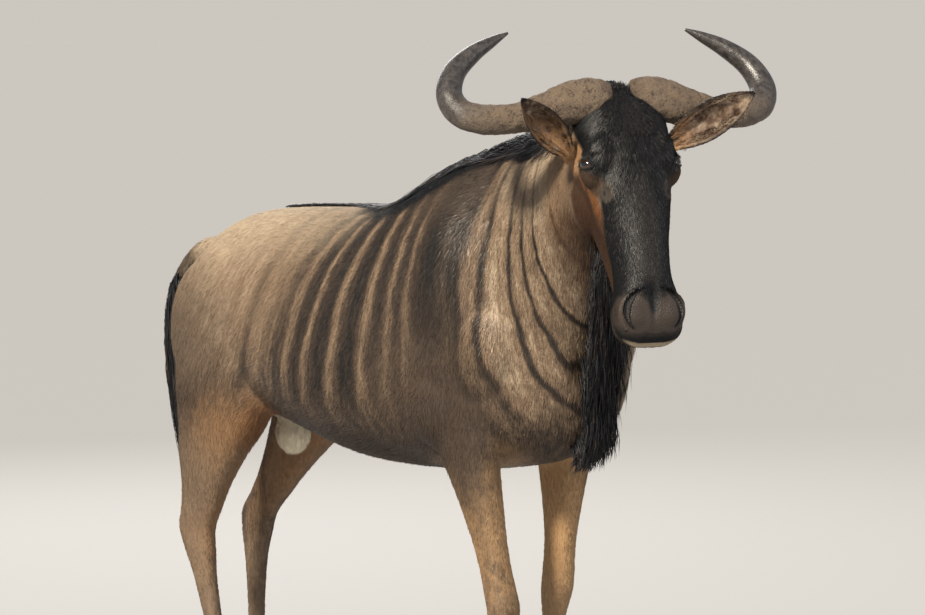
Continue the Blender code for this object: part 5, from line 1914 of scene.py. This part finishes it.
BACK_TINTS = (
    ((-0.03, -0.045, 1.294), (0.1, 0.06, 0.034), SOOT, 0.9),
    ((0.06, -0.085, 1.302), (0.1, 0.095, 0.052), SOOT, 1.0),
    ((0.13, -0.095, 1.324), (0.1, 0.092, 0.054), BLACK, 1.0),
    ((0.19, -0.08, 1.352), (0.09, 0.092, 0.052), BLACK, 1.0),
    ((0.24, -0.06, 1.38), (0.08, 0.085, 0.048), BLACK, 1.0),
    ((0.29, -0.03, 1.398), (0.08, 0.072, 0.046), BLACK, 1.0),
    ((0.15, 0.0, 1.353), (0.12, 0.06, 0.05), BLACK, 0.95),
    ((0.34, 0.0, 1.412), (0.1, 0.075, 0.05), BLACK, 1.0),
    ((0.4, -0.008, 1.432), (0.14, 0.042, 0.034), BLACK, 1.0),
    ((0.53, -0.036, 1.456), (0.14, 0.046, 0.036), BLACK, 1.0),
    ((0.64, -0.076, 1.486), (0.12, 0.048, 0.042), BLACK, 1.0),
    # Painted shadow of the horn and ear on the neck just behind the ear.
    ((0.452, -0.08, 1.41), (0.04, 0.022, 0.026), BLACK, 0.95),
    ((-0.05, 0.0, 1.292), (0.2, 0.012, 0.016), SOOT, 0.85),
    ((-0.32, 0.0, 1.282), (0.2, 0.009, 0.014), SOOT, 0.7),
)
HEAD_TINTS = (
    ((0.27, -0.11, 0.04), (0.26, 0.09, 0.064), BROWN, 0.9),
    ((0.12, -0.15, 0.08), (0.08, 0.08, 0.05), FAWN, 0.55),
    ((0.2, -0.092, 0.08), (0.078, 0.044, 0.046), PEAT, 0.92),
    ((0.246, -0.048, 0.066), (0.024, 0.02, 0.02), ORANGE, 0.4),
    ((0.11, -0.072, 0.094), (0.034, 0.036, 0.05), TAN, 0.85),
    ((0.178, -0.034, 0.08), (0.036, 0.03, 0.034), HAZEL, 0.95),
    ((0.16, -0.063, 0.089), (0.026, 0.006, 0.03), ORANGE, 0.6),
    ((0.196, -0.05, 0.08), (0.026, 0.006, 0.03), ORANGE, 0.65),
    ((0.226, -0.044, 0.07), (0.026, 0.012, 0.03), ORANGE, 0.85),
    ((0.34, -0.1, 0.055), (0.14, 0.09, 0.06), PEAT, 0.95),
)
# Tints over the black face mask, in the same form.
FACE_TINTS = (
    ((0.209, -0.004, 0.062), (0.02, 0.023, 0.014), GLAND, 0.8),
    ((0.21, -0.002, 0.064), (0.008, 0.014, 0.004), BLACK, 0.9),
    ((0.29, 0.014, 0.0), (0.11, 0.03, 0.03), ASH, 0.12),
    ((0.45, -0.018, 0.036), (0.04, 0.046, 0.034), PAD, 0.95),
    ((0.468, -0.03, 0.0), (0.022, 0.036, 0.04), PAD, 0.8),
    ((0.43, 0.002, 0.0), (0.026, 0.024, 0.01), BLACK, 0.85),
    ((0.436, -0.03, 0.066), (0.034, 0.034, 0.014), UMBER, 0.6),
    ((0.47, -0.08, 0.04), (0.05, 0.02, 0.05), UMBER, 0.6),
    ((0.5, -0.056, 0.0), (0.026, 0.011, 0.054), CREAM, 0.8),
    ((0.498, -0.041, 0.0), (0.022, 0.005, 0.056), BLACK, 0.9),
)
# Factors of the fitted cubic that stays the same along one stripe, by their powers of x and z.
STRIPE_CUBIC = {
    (0, 0): 0.0159, (1, 0): 0.0344, (0, 1): -0.1612, (2, 0): -0.1533, (1, 1): 0.6523,
    (0, 2): -0.1124, (3, 0): -0.2128, (2, 1): 0.186, (1, 2): -0.1416, (0, 3): 0.0318,
}


class Finish(Enum):
    """Kinds of surface that carry the markings."""

    SKIN = "skin"
    FUR = "fur"


def stripe_field(w: Wiring, x: object, z: object) -> Socket:
    """Number that stays the same along one stripe.

    Args:
        w: The wiring.
        x: Way forward in the frame of the body tables.
        z: Height in it.

    Returns:
        The number.
    """
    height = w.maths("MINIMUM", w.maths("MAXIMUM", z, 0.86), 1.45)
    ahead, above, total = w.less(x, 0.1), w.less(height, 1.17), x
    for (m, n), term in STRIPE_CUBIC.items():
        for value in [ahead] * m + [above] * n:
            term = w.times(term, value)
        total = w.plus(total, term)
    return total


@dataclass(frozen=True)
class Markings:
    """The animal's colours by place, shared by its skin and its coat."""

    name: str = "Markings"
    fade: tuple[float, float] = (0.82, 0.97)
    underside: float = 0.55
    wander: float = 0.016
    streaks: float = 1.15
    specks: float = 0.4
    edge: float = 0.007

    def group(self) -> bpy.types.NodeTree:
        """Build the group once, or find it.

        Returns:
            The node group.
        """
        if self.name in bpy.data.node_groups:
            return bpy.data.node_groups[self.name]
        group = bpy.data.node_groups.new(self.name, "ShaderNodeTree")
        w, socket = Wiring(group), group.interface.new_socket
        socket(name="Place", in_out="INPUT", socket_type="NodeSocketVector")
        for label, kind in (("Colour", "Color"), ("Bare", "Float"), ("Face", "Float")):
            socket(name=label, in_out="OUTPUT", socket_type="NodeSocket" + kind)
        given = w.node("NodeGroupInput").outputs["Place"]
        place = w.vector("SUBTRACT", given, tuple(SHIFT))
        x, y, z = w.split(place)
        offset = w.vector("SUBTRACT", place, HEAD_FRAME.poll)
        axes = [w.vector("DOT_PRODUCT", offset, tuple(axis)) for axis in (AXIS_U, AXIS_V, AXIS_W)]
        local = w.combine(axes[0], axes[1], w.maths("ABSOLUTE", axes[2]))
        mirrored = w.combine(x, w.maths("ABSOLUTE", y), z)
        colour = self.striped(w, place, x, y, z)
        blur = w.times(w.less(w.grain(place, 38.0, 3.0, 0.65), 0.5), 1.1)
        for where, soft, table in ((mirrored, 0.9, BODY_TINTS), (place, 0.5, BACK_TINTS),
                                   (local, 0.6, HEAD_TINTS)):
            colour = self.tinted(w, colour, where, soft, table, blur)
        colour = self.masked(w, colour, axes, local, blur)
        # Painted shade in the nostril slits and the mouth's groove, with the lids' own dark rims, in black.
        colour = w.mix(w.times(w.mark("crease"), 0.85), colour, BLACK)
        colour = w.mix(w.times(w.mark("cup"), 0.9), colour, self.lining(w, place, axes))
        colour = w.mix(w.mark("rim"), colour, BLACK)
        bare = w.near(local, (0.452, -0.026, 0.034), (0.04, 0.05, 0.04), 0.3)
        face = w.near(local, (0.2, 0.01, 0.0), (0.26, 0.09, 0.085), 0.4)
        w.node("NodeGroupOutput", {"Colour": colour, "Bare": bare, "Face": face})
        return group

    def striped(self, w: Wiring, place: object, x: object, y: object, z: object) -> Socket:
        """Colours of the body's stripes, with fine streaks and specks.

        Args:
            w: The wiring.
            place: Place in the frame of the body tables.
            x: Its way forward.
            y: Its way to the left.
            z: Its height.

        Returns:
            The colour.
        """
        field = stripe_field(w, x, z)
        streak = w.combine(field, w.times(y, 0.4), w.times(z, 0.12))
        streak = w.plus(w.times(w.grain(streak, 95.0, 3.0, 0.6), 0.5),
                        w.times(w.grain(streak, 230.0, 3.0, 0.65), 0.5))
        wobble = w.less(w.grain(place, 9.0), 0.5)
        field = w.plus(field, w.times(wobble, self.wander))
        seam = FLANK_STRIPES[-1][0]
        dark = w.between(w.step(field, seam - 0.001, seam + 0.001),
                         w.curve(field, FLANK_STRIPES), w.curve(field, NECK_STRIPES))
        dark = w.between(w.step(z, *self.fade), self.underside, dark)
        dark = w.plus(dark, w.times(w.less(streak, 0.5), self.streaks))
        speck = w.less(w.grain(place, 260.0, 2.0, 0.7), 0.5)
        dark = w.plus(dark, w.times(speck, self.specks), clamp=True)
        return w.ramp(dark, ((0.0, BEIGE), (0.3, FAWN), (0.62, UMBER), (1.0, SOOT)))

    def lining(self, w: Wiring, place: object, axes: Sequence) -> Socket:
        """Colours of the inside of the ears, with painted shade over the right ear's lining.

        Args:
            w: The wiring.
            place: Place in the frame of the body tables.
            axes: u, v and w as numbers.

        Returns:
            The colour.
        """
        colour = w.ramp(w.grain(place, 60.0, 3.0, 0.6),
                        ((0.22, PEAT), (0.4, BROWN), (0.6, LINING), (0.84, CREAM)))
        # Painted shade: the lining of the right ear (w below zero) is darkened in noisy patches towards tan
        # and peat.
        deep = w.mix(w.step(axes[0], 0.085, 0.045), TAN, PEAT)
        patches = w.step(w.grain(place, 75.0, 3.0, 0.6), 0.62, 0.48)
        shade = w.times(w.step(axes[2], 0.02, -0.02), patches)
        colour = w.mix(w.times(shade, 0.8), colour, deep)
        base = w.times(w.step(axes[2], 0.15, 0.105), w.step(axes[2], 0.0, 0.05))
        return w.mix(w.times(base, 0.7), colour, TAN)

    def tinted(self, w: Wiring, colour: object, where: object, soft: float, table: Sequence,
               blur: object) -> Socket:
        """Lay the tints of a table over a colour, their edges broken up by noise.

        Args:
            w: The wiring.
            colour: The colour below.
            where: Place in the frame of the table.
            soft: Share of the radii over which the tints fade.
            table: Middle, radii, colour and strength of each tint.
            blur: Noise about 0.

        Returns:
            The new colour.
        """
        for centre, radii, tint, strength in table:
            mask = w.near(where, centre, radii, soft)
            edge = w.times(w.times(mask, w.less(1.0, mask)), 4.0)
            mask = w.plus(mask, w.times(edge, blur), clamp=True)
            colour = w.mix(w.times(mask, strength), colour, tint)
        return colour

    def masked(self, w: Wiring, colour: object, axes: Sequence, local: object, blur: object) -> Socket:
        """Lay the black mask over the face, then the tints that lie on it.

        Args:
            w: The wiring.
            colour: The colour below.
            axes: u, v and w as numbers.
            local: u, v and the size of w as a vector.
            blur: Noise about 0.

        Returns:
            The new colour.
        """
        lift = 0.2
        edge = w.less(w.curve(axes[0], [(u, v + lift) for u, v in FACE_EDGE]), lift)
        over = w.plus(w.less(axes[1], edge), w.times(blur, 0.008))
        colour = w.mix(w.step(over, -self.edge, self.edge), colour, BLACK)
        return self.tinted(w, colour, local, 0.5, FACE_TINTS, blur)


@dataclass(frozen=True)
class Coat:
    """Hide and short hair with the animal's markings."""

    kind: Finish

    def material(self) -> Material:
        """Build the material.

        Returns:
            The material.
        """
        material, w = surface("wildebeest_" + self.kind.value)
        place = w.place()
        marks = w.node("ShaderNodeGroup", {"Place": place}, node_tree=Markings().group())
        colour, bare, face = (marks.outputs[name] for name in ("Colour", "Bare", "Face"))
        if self.kind is Finish.FUR:
            tone, tip = w.mark("tone"), w.mark("tip")
            bright = w.times(w.plus(w.times(tone, 0.28), 0.88), w.plus(w.times(tip, 0.35), 0.8))
            colour = w.mix(1.0, colour, w.combine(bright, bright, bright), "MULTIPLY")
            grey = w.times(w.times(w.step(tone, 0.86, 0.9), face), 0.55)
            colour = w.mix(w.times(grey, tip), colour, ASH)
            w.shade({"Roughness": 0.4, "Specular IOR Level": 0.28})
        else:
            pores = w.node("ShaderNodeTexVoronoi", {"Vector": place, "Scale": 420.0})
            height = w.between(bare, w.grain(place, 700.0, 3.0, 0.7), pores.outputs["Distance"])
            w.shade({"Normal": w.bump(height, 0.0012, 0.7), "Roughness": w.between(bare, 0.72, 0.46),
                     "Specular IOR Level": 0.25})
        w.shade({"Base Color": colour})
        return material


@dataclass(frozen=True)
class LongHair:
    """Long black hair with a cool sheen and a few brown tips."""

    base: Colour = (0.0065, 0.0065, 0.0078)
    tips: Colour = (0.055, 0.036, 0.024)
    sheen: Colour = (0.55, 0.65, 0.85)

    def material(self) -> Material:
        """Build the material.

        Returns:
            The material.
        """
        material, w = surface("wildebeest_long_hair")
        tone = w.mark("tone")
        dark = w.mix(tone, self.base, tuple(2.2 * c for c in self.base))
        brown = w.times(w.step(tone, 0.8, 0.95), w.step(w.mark("tip"), 0.3, 1.0))
        w.shade({"Base Color": w.mix(brown, dark, self.tips), "Roughness": 0.4,
                 "Specular IOR Level": 0.25, "Sheen Weight": 0.03, "Sheen Roughness": 0.4,
                 "Sheen Tint": self.sheen})
        return material


@dataclass(frozen=True)
class HornFinish:
    """Bark-like brown boss that turns into smooth black horn."""

    bark: Colour = (0.135, 0.092, 0.06)
    crack: Colour = (0.022, 0.017, 0.015)
    ridge: Colour = (0.175, 0.13, 0.092)
    fleck: Colour = (0.34, 0.225, 0.11)
    base: Colour = (0.06, 0.038, 0.027)
    slate: Colour = (0.064, 0.056, 0.052)
    black: Colour = (0.018, 0.016, 0.016)

    def material(self) -> Material:
        """Build the material.

        Returns:
            The material.
        """
        material, w = surface("wildebeest_horn")
        place = w.place()
        wander = w.times(w.less(w.grain(place, 30.0, 3.0), 0.5), 0.16)
        share = w.plus(w.mark("share"), wander)
        smooth = w.step(share, 0.4, 0.66)
        fine, broad = w.grain(place, 230.0, 4.0, 0.75), w.grain(place, 60.0, 3.0, 0.6)
        bark = w.ramp(w.plus(w.times(fine, 0.6), w.times(broad, 0.4)),
                      ((0.38, self.crack), (0.46, self.bark), (0.52, self.ridge),
                       (0.57, self.bark), (0.64, self.fleck)))
        stripe = w.ramp(w.grain(place, 90.0, 4.0, 0.6), ((0.35, self.black), (0.65, self.slate)))
        bark = w.mix(w.times(w.step(share, 0.1, 0.02), 0.45), bark, self.base)
        height = w.times(w.plus(fine, w.times(broad, 1.2)), w.between(smooth, 1.0, 0.1))
        w.shade({"Base Color": w.mix(smooth, bark, stripe), "Normal": w.bump(height, 0.006, 1.0),
                 "Roughness": w.between(smooth, 0.78, 0.29)})
        return material


@dataclass(frozen=True)
class HoofFinish:
    """Dull dark horn of the claws, with faint growth rings."""

    dark: Colour = (0.016, 0.014, 0.013)
    light: Colour = (0.075, 0.06, 0.046)

    def material(self) -> Material:
        """Build the material.

        Returns:
            The material.
        """
        material, w = surface("wildebeest_hoof")
        rings = w.grain(w.vector("MULTIPLY", w.place(), (60.0, 60.0, 420.0)), 1.0, 3.0, 0.6)
        w.shade({"Base Color": w.ramp(rings, ((0.3, self.dark), (0.7, self.light))),
                 "Roughness": 0.5, "Normal": w.bump(rings, 0.0012, 0.6)})
        return material


@dataclass(frozen=True)
class EyeFinish:
    """Dark brown iris with a level pupil, under a wet gloss."""

    iris: Colour = (0.03, 0.012, 0.005)
    radius: float = 0.015
    pupil: tuple[float, float] = (0.62, 0.34)

    def material(self, side: Side) -> Material:
        """Build the material of one eye.

        Args:
            side: Which eye.

        Returns:
            The material.
        """
        material, w = surface("wildebeest_eye_" + side.name.lower())
        centre, _, long_axis, high_axis = Skin().eye_axes(side.value)
        offset = w.vector("SUBTRACT", w.place(), tuple(centre))
        x, y = (w.over(w.vector("DOT_PRODUCT", offset, tuple(axis)), self.radius)
                for axis in (long_axis, high_axis))
        reach, pupil = (w.maths("SQRT", w.plus(w.times(a, a), w.times(b, b))) for a, b in
                        ((x, y), (w.over(x, self.pupil[0]), w.over(y, self.pupil[1]))))
        colour = self.iris
        for value, low, high, tint in (
                (reach, 0.86, 1.02, (0.12, 0.055, 0.03)), (reach, 0.7, 0.92, (0.01, 0.006, 0.005)),
                (reach, 1.0, 1.12, (0.16, 0.07, 0.04)), (pupil, 1.06, 0.94, (0.002, 0.002, 0.004))):
            colour = w.mix(w.step(value, low, high), colour, tint)
        w.shade({"Base Color": colour, "Roughness": 0.08, "Coat Weight": 1.0, "Coat Roughness": 0.03})
        return material


def dress(piece: Shape, material: Material) -> None:
    """Give a piece its material and its body, and report it.

    Args:
        piece: The piece.
        material: Its material.
    """
    piece.data.materials.clear()
    piece.data.materials.append(material)
    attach(piece, "root")
    LOG.info("%s: %d faces", piece.name, len(piece.data.polygons))


@dataclass
class Studio:
    """Pale floor, soft lights and the camera at the photograph's angle."""

    lens: float = 134.4
    sensor: float = 36.0
    floor_size: float = 600.0
    camera_place: Triple = (5.6462, -4.5675, 1.6679)
    camera_way: Triple = (-0.7665, 0.6371, -0.0815)
    aim: Triple = (0.1, 0, 1.1)

    def build(self) -> None:
        """Set up the floor, the lights and the camera."""
        deselect()
        bpy.ops.mesh.primitive_plane_add(size=self.floor_size, location=(0, 0, 0))
        floor = bpy.context.active_object
        floor.name = "floor"
        material, w = surface("floor")
        w.shade({"Base Color": (0.38, 0.38, 0.385), "Roughness": 0.9})
        floor.data.materials.append(material)
        world = bpy.data.worlds.new("studio")
        world.use_nodes = True
        w, nodes = Wiring(world.node_tree), world.node_tree.nodes
        light = nodes["Background"]
        w.feed(light.inputs["Color"], (0.86, 0.89, 0.94))
        w.feed(light.inputs["Strength"], 0.45)
        wall = w.node("ShaderNodeBackground", {"Color": (0.6, 0.575, 0.525)})
        seen = w.node("ShaderNodeLightPath").outputs["Is Camera Ray"]
        both = w.node("ShaderNodeMixShader", {0: seen, 1: light.outputs[0], 2: wall.outputs[0]})
        w.feed(nodes["World Output"].inputs["Surface"], both.outputs[0])
        bpy.context.scene.world = world
        bpy.context.scene.view_settings.view_transform = "Standard"
        self.lamp("key", (2.1, -5.8, 5.6), 6.2, 0.14, (1.0, 0.91, 0.76), "SUN")
        self.lamp("fill", (6.0, 1.5, 3.0), 70.0, 3.0, (0.95, 0.96, 1.0))
        self.lamp("back", (-4.5, 2.5, 3.6), 120.0, 3.0, (1.0, 0.97, 0.93))
        data = bpy.data.cameras.new("camera")
        data.lens, data.sensor_width = self.lens, self.sensor
        camera = bpy.data.objects.new("camera", data)
        bpy.context.scene.collection.objects.link(camera)
        forward = Vector(self.camera_way).normalized()
        right = forward.cross(Vector((0, 0, 1))).normalized()
        turn = Matrix((right, right.cross(forward), -forward)).transposed().to_4x4()
        camera.matrix_world = Matrix.Translation(Vector(self.camera_place) + SHIFT) @ turn
        bpy.context.scene.camera = camera

    def lamp(self, name: str, place: Row, power: float, size: float, colour: Colour,
             kind: str = "AREA") -> None:
        """Add a soft lamp that looks at the animal.

        Args:
            name: Its name.
            place: Where it hangs.
            power: Its power in watts.
            size: Its side, or its angle if it is a sun.
            colour: Its colour.
            kind: AREA or SUN.
        """
        data = bpy.data.lights.new(name, kind)
        data.energy, data.color = power, colour
        if kind == "SUN":
            data.angle = size
        else:
            data.size = size
        lamp = bpy.data.objects.new(name, data)
        bpy.context.scene.collection.objects.link(lamp)
        lamp.location = place
        way = Vector(self.aim) - Vector(place)
        lamp.rotation_euler = way.to_track_quat("-Z", "Y").to_euler()


def main() -> None:
    """Build the animal piece by piece, then the studio."""
    logging.basicConfig(level=logging.INFO, format="%(message)s")
    skin_finish, fur = Coat(Finish.SKIN).material(), Coat(Finish.FUR).material()
    long_hair, horn_finish, hoof_finish = (LongHair().material(), HornFinish().material(),
                                           HoofFinish().material())
    skin = Skin().build()
    hide = Hide(skin)
    dress(skin, skin_finish)
    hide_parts("torso", "neck", "head", "ear_left", "ear_right", "tail",
                "leg_front_left", "leg_front_right", "leg_hind_left", "leg_hind_right")
    for piece in ShortCoat().build(hide):
        dress(piece, fur)
    for piece in (Mane().build(hide), Beard().build(hide), Tail().build(hide)):
        dress(piece, long_hair)
    for piece in FaceHair().build(hide):
        dress(piece, fur if "ear" in piece.name else long_hair)
    for side in Side:
        horn = Horn(side).build()
        dress(horn, horn_finish)
        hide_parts("horn_" + side.name.lower())
        eye = Eye(side).build()
        dress(eye, EyeFinish().material(side))
        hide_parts("eye_" + side.name.lower())
    for name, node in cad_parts.items():
        if name.startswith(("hoof", "dewclaw")):
            for slot in node.material_slots:
                slot.material = hoof_finish
    Studio().build()


if __name__ == "__main__":
    main()
